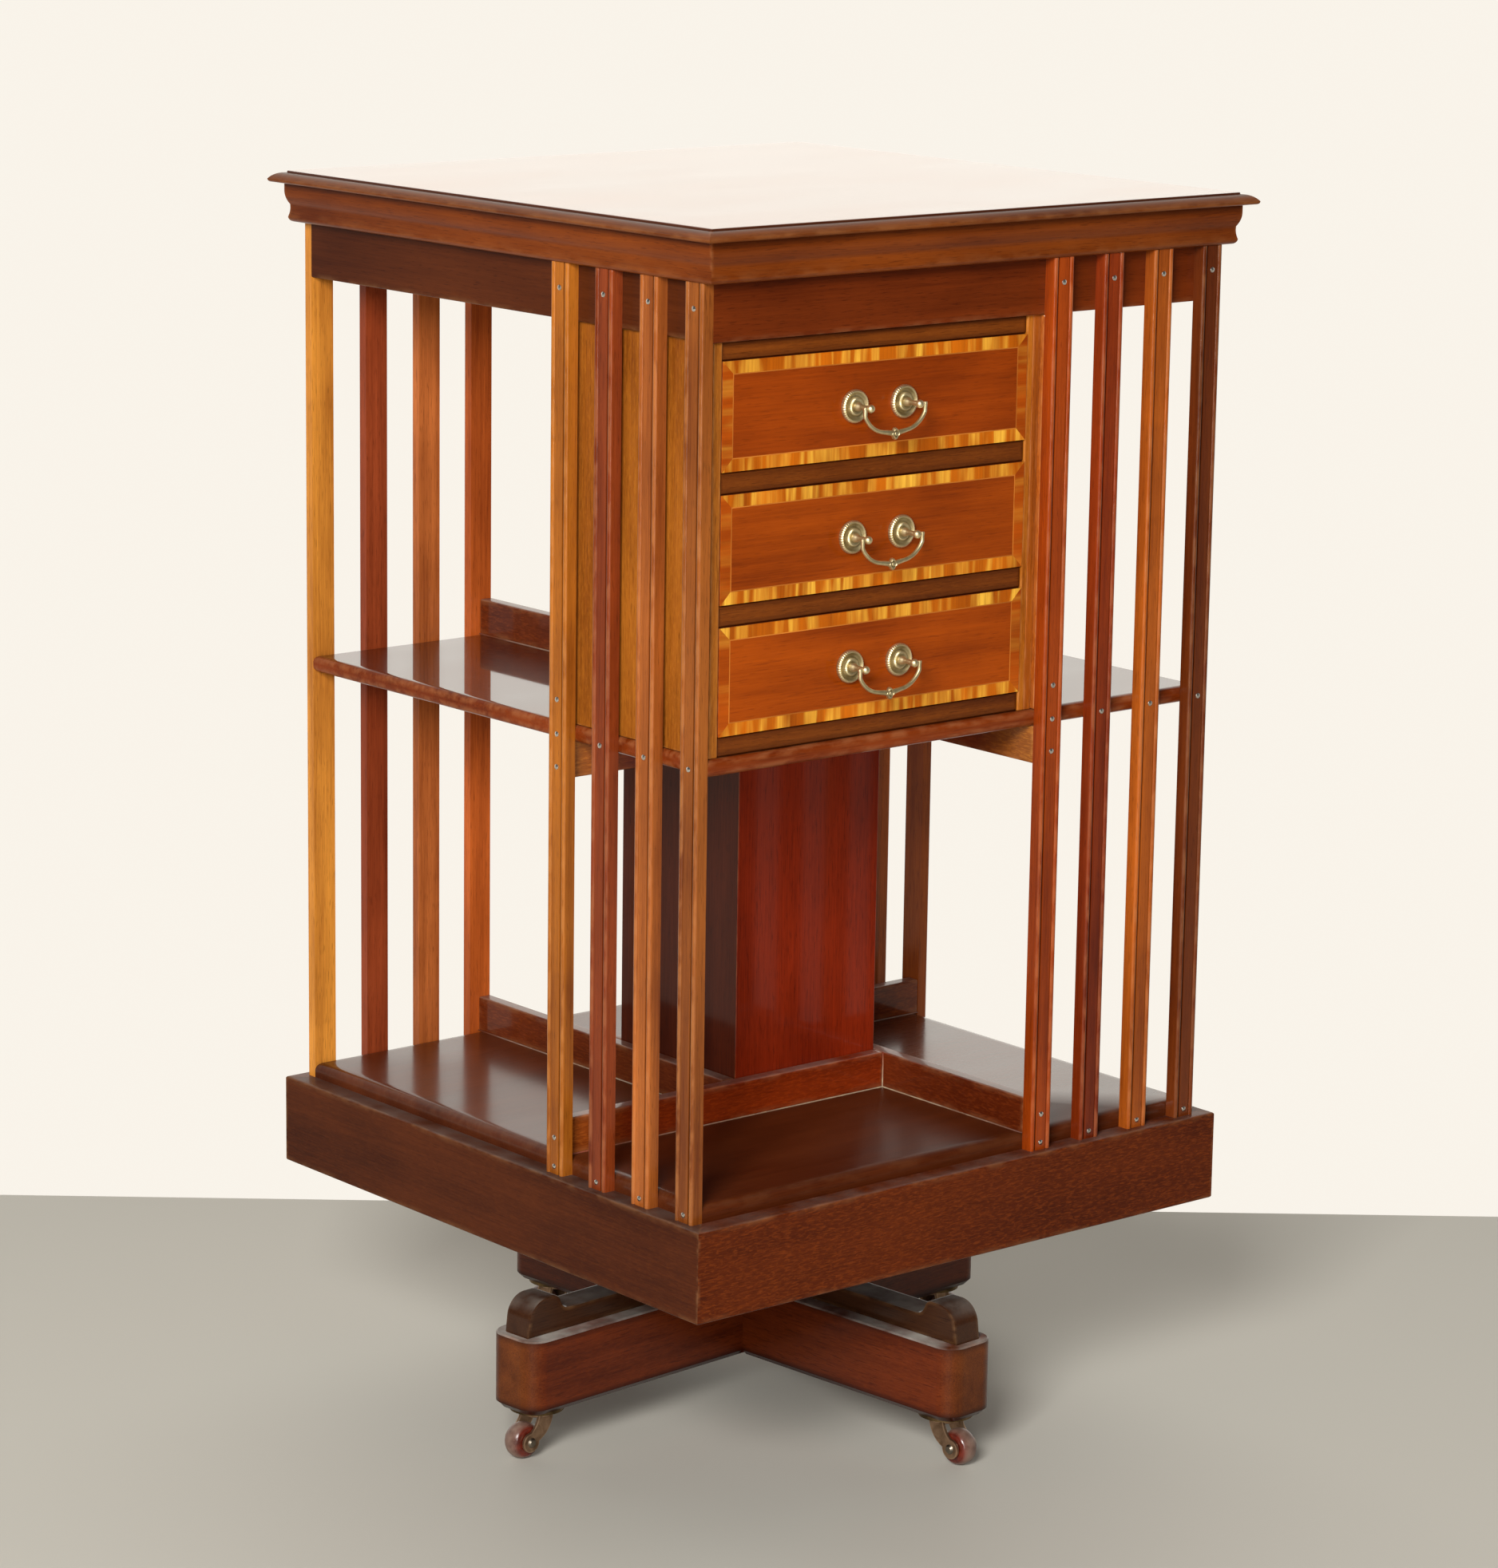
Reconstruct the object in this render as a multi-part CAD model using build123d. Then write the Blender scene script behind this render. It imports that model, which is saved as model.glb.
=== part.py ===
from build123d import *
import os
from math import sqrt

# Revolving bookcase: a square slatted case with three drawers turns on a fixed post,
# and the post stands on a half-lapped cross with four castors.
# Millimetres, +Z up, origin on the floor under the post. The drawers face -Y.

# Base cross
BASE_TURN = 5.0             # how far the cross stands turned from the case, in degrees
BEAM_LENGTH = 448.0
BEAM_WIDTH = 46.0
BEAM_HEIGHT = 53.5
BEAM_END_RADIUS = 14.0      # upright corners at the ends of the arms
BEAM_CHAMFER = 4.0          # lower edges

# Chocks: a rail with a scrolled hump, planted on each arm
CHOCK_WIDTH = 24.0
CHOCK_END_SETBACK = 6.0     # from the end of the arm to the foot of the hump
CHOCK_RAIL_HEIGHT = 15.0
CHOCK_HUMP_HEIGHT = 26.0
CHOCK_HUMP_LENGTH = 33.0    # along the foot of the hump
CHOCK_CREST_LENGTH = 25.0   # along its top, before rounding
CHOCK_OUTER_ROUND = 16.0    # from the end face over to the crest
CHOCK_INNER_ROUND = 6.0     # from the crest down to the scoop
CHOCK_END_SLOPE = 3.0       # how far the end face leans inwards
CHOCK_SCOOP_RADIUS = 8.0    # hollow between the hump and the rail

# Castors
WHEEL_DIAMETER = 25.5
WHEEL_WIDTH = 14.0
WHEEL_TREAD = 5.0           # width of the tread that meets the floor
WHEEL_SHOULDER_DIAMETER = 23.2
WHEEL_SHOULDER_WIDTH = 10.0
WHEEL_SIDE_DIAMETER = 17.0  # flat on each side of the wheel
WHEEL_SIDE_GAP = 0.5        # wheel to fork cheek
CASTOR_TRAIL = 13.5         # swivel axis to axle, pointing out along the arm
CASTOR_INSET = 25.0         # swivel axis to the end of the arm
CASTOR_HEIGHT = 35.5        # floor to the underside of the arm
PLATE_DIAMETER = 38.0
PLATE_THICKNESS = 2.5
SOCKET_DIAMETER = 14.0
SOCKET_LENGTH = 24.0
PINTLE_DIAMETER = 9.0
CROWN_DIAMETER = 22.0
CROWN_THICKNESS = 4.0
CROWN_GAP = 0.3             # crown to plate
CHEEK_THICKNESS = 2.6
CHEEK_EYE_RADIUS = 7.0
CHEEK_TOP_WIDTH = 13.0
AXLE_DIAMETER = 4.5
AXLE_HEAD_DIAMETER = 7.0
AXLE_HEAD_HEIGHT = 1.4

# Fits
RUNNING_FIT = 0.08          # radial, turning pieces
HELD_FIT = 0.05             # radial, a round piece held in its hole

# Post and bearings
POST_DIAMETER = 48.0        # journal at the lower collar
POST_TOP_DIAMETER = 38.0
POST_TOP_GAP = 36.0         # top of the post to the underside of the top board
POST_TENON_DIAMETER = 32.0
POST_FOOT_DIAMETER = 92.0
POST_FOOT_HEIGHT = 16.0
PIVOT_DIAMETER = 14.0
PIVOT_SET_DEPTH = 40.0      # length of pin held in the post
PIVOT_TIP_CHAMFER = 3.0
CUP_FLANGE_DIAMETER = 66.0
CUP_FLANGE_THICKNESS = 5.0
CUP_DIAMETER = 32.0
CUP_LENGTH = 26.0           # flange and boss together
CUP_FLOOR = 7.0             # metal over the pin's tip
CUP_END_GAP = 0.3
COLLAR_DIAMETER = 58.0
COLLAR_FLANGE_DIAMETER = 84.0
COLLAR_FLANGE_THICKNESS = 3.0

# Case
BOARD_WIDTH = 437.0         # bottom board, shelf and frieze alike
APRON_PROJECTION = 15.0     # face of the apron past the boards
APRON_LIFT = 67.5           # base cross to the lower edge of the apron
APRON_HEIGHT = 62.3
APRON_THICKNESS = 22.0
APRON_ARRIS = 1.5           # worn edges of the apron
REBATE_DEPTH = 3.8          # bottom board let into the apron
BOTTOM_BOARD_THICKNESS = 15.0
BOTTOM_BOARD_NOSE = 6.0
LOWER_BAY_HEIGHT = 283.5
UPPER_BAY_HEIGHT = 265.4    # shelf to the lower edge of the frieze
SHELF_THICKNESS = 11.5
SHELF_NOSE = 4.0
COLUMN_WIDTH = 127.0
COLUMN_BOARD = 21.0
STOP_HEIGHT = 25.5
STOP_THICKNESS = 10.0
STOP_ROUND = 2.5
FRIEZE_THICKNESS = 16.0
FRIEZE_DROP = 38.0          # frieze showing below the cornice

# Slats
SLAT_COUNT = 4              # on each face
SLAT_WIDTH = 18.0
SLAT_THICKNESS = 9.0
SLAT_BEAD = 4.0             # width of the bead along each edge
SLAT_QUIRK = 0.8            # groove between bead and flat
SLAT_SUNK = 0.6             # flat lies below the beads

# Top
TOP_OVERHANG = 21.5         # lip past the boards
TOP_EDGE_WIDTH = 9.75       # moulded edge round the raised flat field
TOP_FIELD_STEP = 1.4
TOP_LIP = 8.0               # thickness of the moulded edge
TOP_LIP_UNDER = 2.2         # rounding under the lip
TOP_LIP_NOSE = 5.8          # nose of the lip below the surface
TOP_THICKNESS = 15.0
CORNICE_HEIGHT = 27.1
CORNICE_PROJECTION = 13.2   # upper lobe past the boards
CORNICE_LOBE = 6.0          # flat part of the lobe
CORNICE_NECK = 2.8          # how far the neck lies inside the lobe
CORNICE_NECK_DROP = 15.0    # neck below the lip
CORNICE_BELLY = 1.8         # how far the lower part lies inside the lobe
CORNICE_FOOT_ROUND = 3.5

# Drawer case, in the upper bay behind the front face
CARCASS_SETBACK = 3.5       # inside the edge of the shelf
LEFT_SIDE_THICKNESS = 7.0
RIGHT_SIDE_THICKNESS = 11.5
CARCASS_BACK_THICKNESS = 6.0
TOP_RAIL_HEIGHT = 12.0
RAIL_HEIGHT = 14.0
BOTTOM_RAIL_HEIGHT = 13.0
RAIL_DEPTH = 38.0
RAIL_SETBACK = 1.0
RUNNER_WIDTH = 14.0
DRAWER_COUNT = 3
DRAWER_GAP = 0.5            # sides of the front
DRAWER_LIFT = 0.3           # drawer to runner, and front to rail
DRAWER_PROUD = 0.6          # front stands out from the drawer case
DRAWER_FRONT_THICKNESS = 14.0
DRAWER_SIDE_THICKNESS = 7.0
DRAWER_SIDE_DROP = 10.2     # sides lower than the front
DRAWER_BACK_THICKNESS = 6.0
DRAWER_BACK_DROP = 5.0      # back lower than the sides
DRAWER_BOTTOM_THICKNESS = 4.0
DRAWER_BOTTOM_LIFT = 5.0    # bottom above the lower edge of the sides
DRAWER_END_GAP = 7.0        # behind the drawer

# Handles
HANDLE_CENTRES = 42.0
HANDLE_DROP = 1.0           # pivot below the middle of the front
ROSE_DIAMETER = 22.0
ROSE_RIM = 3.2              # height of the outer ring
ROSE_RIM_WIDTH = 2.4
ROSE_SINK = 1.4             # lowest part of the dish between the rings
BOSS_DIAMETER = 12.5
BOSS_HEIGHT = 4.0
BOSS_FACE_DIAMETER = 10.0   # flat front of the boss
BULB_DIAMETER = 6.0
BULB_HEIGHT = 7.0
STEM_DIAMETER = 3.6
BALL_DIAMETER = 5.6
BALL_REACH = 16.5           # drawer front to the ball's centre
SHANK_DIAMETER = 4.0
SHANK_SPARE = 2.0           # shank beyond the nut
NUT_WIDTH = 8.0             # across flats
NUT_THICKNESS = 3.0
BAIL_DIAMETER = 2.8
BAIL_FACETS = 8
BAIL_PIN_DIAMETER = 2.0
BAIL_SIDE_GAP = 0.3         # ball to leg
BAIL_DROP = 17.5            # pivot to the middle of the flower
BAIL_SHOULDER = 11.0        # end of the sloping part beside the flower
BAIL_SHOULDER_RISE = 1.8
BAIL_LEG = 5.0              # straight part below the pivot
BAIL_FLOWER_DIAMETER = 8.0
BAIL_FLOWER_THICKNESS = 4.4

# Places that follow from the sizes
BOARD_HALF = BOARD_WIDTH / 2
APRON_HALF = BOARD_HALF + APRON_PROJECTION
TOP_HALF = BOARD_HALF + TOP_OVERHANG
FAR = 4 * TOP_HALF          # past every piece of the case, sideways
COLUMN_HALF = COLUMN_WIDTH / 2
BEAM_TOP = CASTOR_HEIGHT + BEAM_HEIGHT
APRON_BOTTOM = BEAM_TOP + APRON_LIFT
APRON_TOP = APRON_BOTTOM + APRON_HEIGHT
BOARD_BOTTOM = APRON_TOP - REBATE_DEPTH
BOARD_TOP = BOARD_BOTTOM + BOTTOM_BOARD_THICKNESS
SHELF_BOTTOM = BOARD_TOP + LOWER_BAY_HEIGHT
SHELF_TOP = SHELF_BOTTOM + SHELF_THICKNESS
FRIEZE_BOTTOM = SHELF_TOP + UPPER_BAY_HEIGHT
CORNICE_BOTTOM = FRIEZE_BOTTOM + FRIEZE_DROP
LIP_UNDERSIDE = CORNICE_BOTTOM + CORNICE_HEIGHT
TOP_SURFACE = LIP_UNDERSIDE + TOP_LIP
TOP_UNDERSIDE = TOP_SURFACE - TOP_THICKNESS
POST_TOP = TOP_UNDERSIDE - POST_TOP_GAP
ARM_NAMES = ("left", "front", "right", "back")
FACE_NAMES = ("front", "right", "back", "left")

os.makedirs("parts", exist_ok=True)


def save(name, *shapes):
    """Write one node, as separate solids where it is a group."""
    solids = [solid for shape in shapes for solid in shape.solids()]
    export_step(Compound(solids), f"parts/{name}.step")


def block(x, y, z):
    """A plain board between (low, high) pairs along X, Y and Z."""
    size = [high - low for low, high in (x, y, z)]
    middle = [(high + low) / 2 for low, high in (x, y, z)]
    return Pos(*middle) * Box(*size)


def rod(diameter, low, high):
    """An upright round bar about the Z axis."""
    return Pos(0, 0, low) * Cylinder(
        diameter / 2, high - low, align=(Align.CENTER, Align.CENTER, Align.MIN)
    )


def quarter(shape, turns):
    """The same piece on another face, a quarter turn about the post for each step."""
    return Rot(0, 0, 90 * turns) * shape


def square_board(half):
    """A square board from the half section of its edge, with the edge mitred at the corners."""
    section = half + mirror(half, about=Plane.YZ)
    run = extrude(Plane.YZ * section, FAR / 2, both=True)
    return run & quarter(run, 1)


def mitred_side(section):
    """The front member of a square frame: a section run along X, mitred at both ends."""
    run = extrude(Plane.YZ * mirror(section, about=Plane.YZ), FAR / 2, both=True)
    plan = make_face(Polyline((0, 0), (-FAR / 2, -FAR / 2), (FAR / 2, -FAR / 2), close=True))
    return run & extrude(plan, TOP_SURFACE)


def turned(outline):
    """A turned piece about the Z axis, from (radius, height) points."""
    return revolve(Plane.XZ * make_face(outline), Axis.Z)


def base_beam(lap_low, lap_high):
    """One beam of the cross along X, with its half of the lap cut out at the middle."""
    plan = RectangleRounded(BEAM_LENGTH, BEAM_WIDTH, BEAM_END_RADIUS)
    beam = Pos(0, 0, CASTOR_HEIGHT) * extrude(plan, BEAM_HEIGHT)
    lower_edges = beam.faces().sort_by(Axis.Z)[0].edges()
    beam = chamfer(lower_edges, BEAM_CHAMFER)
    half_width = BEAM_WIDTH / 2
    beam -= block((-half_width, half_width), (-half_width, half_width), (lap_low, lap_high))
    beam -= rod(POST_TENON_DIAMETER + 2 * HELD_FIT, CASTOR_HEIGHT, BEAM_TOP)
    swivel = BEAM_LENGTH / 2 - CASTOR_INSET
    for side in (-swivel, swivel):
        beam -= Pos(side, 0, 0) * rod(
            SOCKET_DIAMETER + 2 * HELD_FIT, CASTOR_HEIGHT, CASTOR_HEIGHT + SOCKET_LENGTH
        )
    return beam


def chock():
    """The rail on the arm that points along +X, with its scrolled hump at the outer end."""
    outer = BEAM_LENGTH / 2 - CHOCK_END_SETBACK
    inner = POST_FOOT_DIAMETER / 2
    rail = BEAM_TOP + CHOCK_RAIL_HEIGHT
    top = BEAM_TOP + CHOCK_HUMP_HEIGHT
    crest_outer = outer - CHOCK_END_SLOPE
    crest_inner = crest_outer - CHOCK_CREST_LENGTH
    hollow = (outer - CHOCK_HUMP_LENGTH, rail)
    outline = Polyline(
        (inner, BEAM_TOP),
        (outer, BEAM_TOP),
        (crest_outer, top),
        (crest_inner, top),
        hollow,
        (inner, rail),
        close=True,
    )
    section = make_face(outline)
    corners = (
        ((crest_outer, top), CHOCK_OUTER_ROUND),
        ((crest_inner, top), CHOCK_INNER_ROUND),
        (hollow, CHOCK_SCOOP_RADIUS),
    )
    for corner, radius in corners:
        section = fillet(section.vertices().sort_by_distance(corner)[0], radius)
    return extrude(Plane.XZ * section, CHOCK_WIDTH / 2, both=True)


def spindle_post():
    """The fixed post: a tenon through the lapped beams, a round foot, and a tapered shaft."""
    tenon = POST_TENON_DIAMETER / 2
    journal = POST_DIAMETER / 2
    foot = BEAM_TOP + POST_FOOT_HEIGHT
    outline = Polyline(
        (0, CASTOR_HEIGHT),
        (tenon, CASTOR_HEIGHT),
        (tenon, BEAM_TOP),
        (POST_FOOT_DIAMETER / 2, BEAM_TOP),
        (journal, foot),
        (journal, BOARD_TOP),
        (POST_TOP_DIAMETER / 2, POST_TOP),
        (0, POST_TOP),
        close=True,
    )
    hole = rod(PIVOT_DIAMETER + 2 * HELD_FIT, POST_TOP - PIVOT_SET_DEPTH, POST_TOP)
    return turned(outline) - hole


def pivot_pin():
    """Steel pin in the top of the post, with a coned tip under the cup."""
    tip = TOP_UNDERSIDE - CUP_FLOOR - CUP_END_GAP
    pin = rod(PIVOT_DIAMETER, POST_TOP - PIVOT_SET_DEPTH, tip)
    return chamfer(pin.edges().sort_by(Axis.Z)[-1], PIVOT_TIP_CHAMFER)


def pivot_cup():
    """Flanged cup under the top board, which turns on the pivot pin."""
    cup = rod(CUP_FLANGE_DIAMETER, TOP_UNDERSIDE - CUP_FLANGE_THICKNESS, TOP_UNDERSIDE)
    cup += rod(CUP_DIAMETER, TOP_UNDERSIDE - CUP_LENGTH, TOP_UNDERSIDE)
    bore = PIVOT_DIAMETER + 2 * RUNNING_FIT
    return cup - rod(bore, TOP_UNDERSIDE - CUP_LENGTH, TOP_UNDERSIDE - CUP_FLOOR)


def bearing_collar():
    """Flanged bush in the bottom board, which keeps the case upright round the post."""
    collar = rod(COLLAR_FLANGE_DIAMETER, BOARD_BOTTOM - COLLAR_FLANGE_THICKNESS, BOARD_BOTTOM)
    collar += rod(COLLAR_DIAMETER, BOARD_BOTTOM, BOARD_TOP)
    bore = POST_DIAMETER + 2 * RUNNING_FIT
    return collar - rod(bore, BOARD_BOTTOM - COLLAR_FLANGE_THICKNESS, BOARD_TOP)


def castor_plate():
    """Round plate with its socket, let into the underside of the arm."""
    plate = rod(PLATE_DIAMETER, CASTOR_HEIGHT - PLATE_THICKNESS, CASTOR_HEIGHT)
    plate += rod(SOCKET_DIAMETER, CASTOR_HEIGHT, CASTOR_HEIGHT + SOCKET_LENGTH)
    bore = PINTLE_DIAMETER + 2 * RUNNING_FIT
    return plate - rod(bore, CASTOR_HEIGHT - PLATE_THICKNESS, CASTOR_HEIGHT + SOCKET_LENGTH)


def castor_fork():
    """Horned fork: a round crown on a pintle, and two cheeks that sweep out to the axle."""
    crown_top = CASTOR_HEIGHT - PLATE_THICKNESS - CROWN_GAP
    crown_bottom = crown_top - CROWN_THICKNESS
    axle_height = WHEEL_DIAMETER / 2
    lead = -CHEEK_TOP_WIDTH / 2
    trail = CHEEK_TOP_WIDTH / 2
    diagonal = CHEEK_EYE_RADIUS * sqrt(0.5)
    eye_back = (CASTOR_TRAIL - CHEEK_EYE_RADIUS, axle_height)
    eye_foot = (CASTOR_TRAIL + diagonal, axle_height - diagonal)
    eye_top = (CASTOR_TRAIL, axle_height + CHEEK_EYE_RADIUS)
    outline = Line((trail, crown_top), (lead, crown_top))
    outline += TangentArc((lead, crown_top), eye_back, tangent=(0, -1))
    outline += ThreePointArc(eye_back, eye_foot, eye_top)
    outline += TangentArc((trail, crown_top), eye_top, tangent=(0, -1))
    cheek = extrude(Plane.XZ * make_face(outline), CHEEK_THICKNESS / 2, both=True)
    offset_y = WHEEL_WIDTH / 2 + WHEEL_SIDE_GAP + CHEEK_THICKNESS / 2
    fork = Pos(0, offset_y, 0) * cheek + Pos(0, -offset_y, 0) * cheek
    fork += rod(CROWN_DIAMETER, crown_bottom, crown_top)
    hole = rod(AXLE_DIAMETER + 2 * HELD_FIT, -FAR / 2, FAR / 2)
    fork -= Pos(CASTOR_TRAIL, 0, axle_height) * Rot(90, 0, 0) * hole
    return fork + rod(PINTLE_DIAMETER, crown_bottom, CASTOR_HEIGHT + SOCKET_LENGTH)


def castor_axle():
    """Rivet through the cheeks and the wheel, with a low head on each side."""
    cheek_face = WHEEL_WIDTH / 2 + WHEEL_SIDE_GAP + CHEEK_THICKNESS
    axle = rod(AXLE_DIAMETER, -cheek_face, cheek_face)
    head = Pos(0, 0, cheek_face) * Cone(
        AXLE_HEAD_DIAMETER / 2, AXLE_DIAMETER / 2, AXLE_HEAD_HEIGHT,
        align=(Align.CENTER, Align.CENTER, Align.MIN),
    )
    axle += head
    axle += Rot(180, 0, 0) * head
    return Pos(CASTOR_TRAIL, 0, WHEEL_DIAMETER / 2) * Rot(90, 0, 0) * axle


def castor_wheel():
    """Barrel wheel, its tread eased to flat sides in two steps, bored for the axle."""
    radius = WHEEL_DIAMETER / 2
    bore = AXLE_DIAMETER / 2 + RUNNING_FIT
    edge = WHEEL_WIDTH / 2
    shoulder = WHEEL_SHOULDER_DIAMETER / 2
    outline = Polyline(
        (bore, -edge),
        (WHEEL_SIDE_DIAMETER / 2, -edge),
        (shoulder, -WHEEL_SHOULDER_WIDTH / 2),
        (radius, -WHEEL_TREAD / 2),
        (radius, WHEEL_TREAD / 2),
        (shoulder, WHEEL_SHOULDER_WIDTH / 2),
        (WHEEL_SIDE_DIAMETER / 2, edge),
        (bore, edge),
        close=True,
    )
    return Pos(CASTOR_TRAIL, 0, radius) * Rot(90, 0, 0) * turned(outline)


def top_board():
    """Top with a raised field, a thumb-moulded lip, and a thicker middle inside the cornice."""
    nose = TOP_HALF
    field = nose - TOP_EDGE_WIDTH
    shoulder = TOP_SURFACE - TOP_FIELD_STEP
    nose_height = TOP_SURFACE - TOP_LIP_NOSE
    crest = ((field + 2 * nose) / 3, (2 * shoulder + nose_height) / 3)
    under = (nose - TOP_LIP_UNDER, LIP_UNDERSIDE)
    lip_knee = (
        nose - TOP_LIP_UNDER * (1 - sqrt(0.5)),
        (LIP_UNDERSIDE + nose_height) / 2 - TOP_LIP_UNDER / 4,
    )
    outline = Polyline(
        (0, TOP_UNDERSIDE), (0, TOP_SURFACE), (field, TOP_SURFACE), (field, shoulder)
    )
    outline += ThreePointArc((field, shoulder), crest, (nose, nose_height))
    outline += ThreePointArc((nose, nose_height), lip_knee, under)
    outline += Polyline(
        under, (BOARD_HALF, LIP_UNDERSIDE), (BOARD_HALF, TOP_UNDERSIDE), (0, TOP_UNDERSIDE)
    )
    return square_board(make_face(outline))


def cornice_side():
    """Moulding under the lip: an upper lobe, a hollow neck and a rounded lower part."""
    lobe = BOARD_HALF + CORNICE_PROJECTION
    neck = (lobe - CORNICE_NECK, LIP_UNDERSIDE - CORNICE_NECK_DROP)
    lobe_end = (lobe, LIP_UNDERSIDE - CORNICE_LOBE)
    lobe_cheek = (lobe - CORNICE_NECK / 4, (lobe_end[1] + neck[1]) / 2)
    belly = (lobe - CORNICE_BELLY, CORNICE_BOTTOM + CORNICE_FOOT_ROUND)
    hollow = (lobe - CORNICE_NECK, (neck[1] + belly[1]) / 2)
    foot = (lobe - CORNICE_BELLY - CORNICE_FOOT_ROUND, CORNICE_BOTTOM)
    toe = (
        lobe - CORNICE_BELLY - CORNICE_FOOT_ROUND * (1 - sqrt(0.5)),
        CORNICE_BOTTOM + CORNICE_FOOT_ROUND * (1 - sqrt(0.5)),
    )
    outline = Polyline(
        (BOARD_HALF, CORNICE_BOTTOM), (BOARD_HALF, LIP_UNDERSIDE), (lobe, LIP_UNDERSIDE), lobe_end
    )
    outline += ThreePointArc(lobe_end, lobe_cheek, neck)
    outline += ThreePointArc(neck, hollow, belly)
    outline += ThreePointArc(belly, toe, foot)
    outline += Line(foot, (BOARD_HALF, CORNICE_BOTTOM))
    return mitred_side(make_face(outline))


def frieze_side():
    """Plain board behind the heads of the slats."""
    inner = BOARD_HALF - FRIEZE_THICKNESS
    outline = Polyline(
        (inner, FRIEZE_BOTTOM),
        (BOARD_HALF, FRIEZE_BOTTOM),
        (BOARD_HALF, TOP_UNDERSIDE),
        (inner, TOP_UNDERSIDE),
        close=True,
    )
    return mitred_side(make_face(outline))


def apron_side():
    """Deep board under the case, rebated for the bottom board, with worn outer edges."""
    inner = APRON_HALF - APRON_THICKNESS
    outline = Polyline(
        (inner, APRON_BOTTOM),
        (APRON_HALF, APRON_BOTTOM),
        (APRON_HALF, APRON_TOP),
        (BOARD_HALF, APRON_TOP),
        (BOARD_HALF, BOARD_BOTTOM),
        (inner, BOARD_BOTTOM),
        close=True,
    )
    section = make_face(outline)
    section = fillet(section.vertices().group_by(Axis.X)[-1], APRON_ARRIS)
    return mitred_side(section)


def bottom_board():
    """Floor of the lower bays, with a rounded upper edge and a hole for the bearing collar."""
    outline = Polyline(
        (0, BOARD_BOTTOM),
        (BOARD_HALF, BOARD_BOTTOM),
        (BOARD_HALF, BOARD_TOP),
        (0, BOARD_TOP),
        close=True,
    )
    half = make_face(outline)
    half = fillet(half.vertices().group_by(Axis.X)[-1].sort_by(Axis.Y)[-1], BOTTOM_BOARD_NOSE)
    return square_board(half) - rod(COLLAR_DIAMETER + 2 * HELD_FIT, BOARD_BOTTOM, BOARD_TOP)


def middle_shelf():
    """Shelf between lower and upper bays, round on its edges, with a square hole for the column."""
    outline = Polyline(
        (0, SHELF_BOTTOM),
        (BOARD_HALF, SHELF_BOTTOM),
        (BOARD_HALF, SHELF_TOP),
        (0, SHELF_TOP),
        close=True,
    )
    half = make_face(outline)
    half = fillet(half.vertices().group_by(Axis.X)[-1], SHELF_NOSE)
    column_span = (-COLUMN_HALF, COLUMN_HALF)
    return square_board(half) - block(column_span, column_span, (SHELF_BOTTOM, SHELF_TOP))


def column_side():
    """Front board of the hollow column, mitred to its neighbours."""
    inner = COLUMN_HALF - COLUMN_BOARD
    outline = Polyline(
        (inner, BOARD_TOP),
        (COLUMN_HALF, BOARD_TOP),
        (COLUMN_HALF, TOP_UNDERSIDE),
        (inner, TOP_UNDERSIDE),
        close=True,
    )
    return mitred_side(make_face(outline))


def stop(low, hanging=False):
    """Book stop of the front bay, from the left edge of the board to the column's right face.

    Its free front edge is rounded: the upper one, or the lower one where it hangs under a shelf.
    """
    front = COLUMN_HALF + STOP_THICKNESS
    board = block((-BOARD_HALF, COLUMN_HALF), (-front, -COLUMN_HALF), (low, low + STOP_HEIGHT))
    front_edges = board.edges().filter_by(Axis.X).group_by(Axis.Y)[0].sort_by(Axis.Z)
    free_edge = front_edges[0] if hanging else front_edges[-1]
    return fillet(free_edge, STOP_ROUND)


def slats():
    """The beaded slats of the front face, pinned upright to frieze, shelf and bottom board.

    The first starts in line with the column, and the last ends flush with the boards.
    """
    edge = SLAT_WIDTH / 2
    radius = SLAT_BEAD / 2
    root = SLAT_THICKNESS - radius
    flat = SLAT_THICKNESS - SLAT_SUNK
    flat_edge = edge - SLAT_BEAD - SLAT_QUIRK
    outline = Polyline((0, 0), (edge, 0), (edge, root))
    bead_end = (edge - SLAT_BEAD, root)
    outline += ThreePointArc((edge, root), (edge - radius, SLAT_THICKNESS), bead_end)
    outline += Polyline(bead_end, (flat_edge, root), (flat_edge, flat), (0, flat), (0, 0))
    half = make_face(outline)
    section = half + mirror(half, about=Plane.YZ)
    slat = Pos(0, -BOARD_HALF, APRON_TOP) * extrude(
        mirror(section, about=Plane.XZ), CORNICE_BOTTOM - APRON_TOP
    )
    first = COLUMN_HALF + edge
    last = BOARD_HALF - edge
    pitch = (last - first) / (SLAT_COUNT - 1)
    return [Pos(first + pitch * index, 0, 0) * slat for index in range(SLAT_COUNT)]


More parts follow.
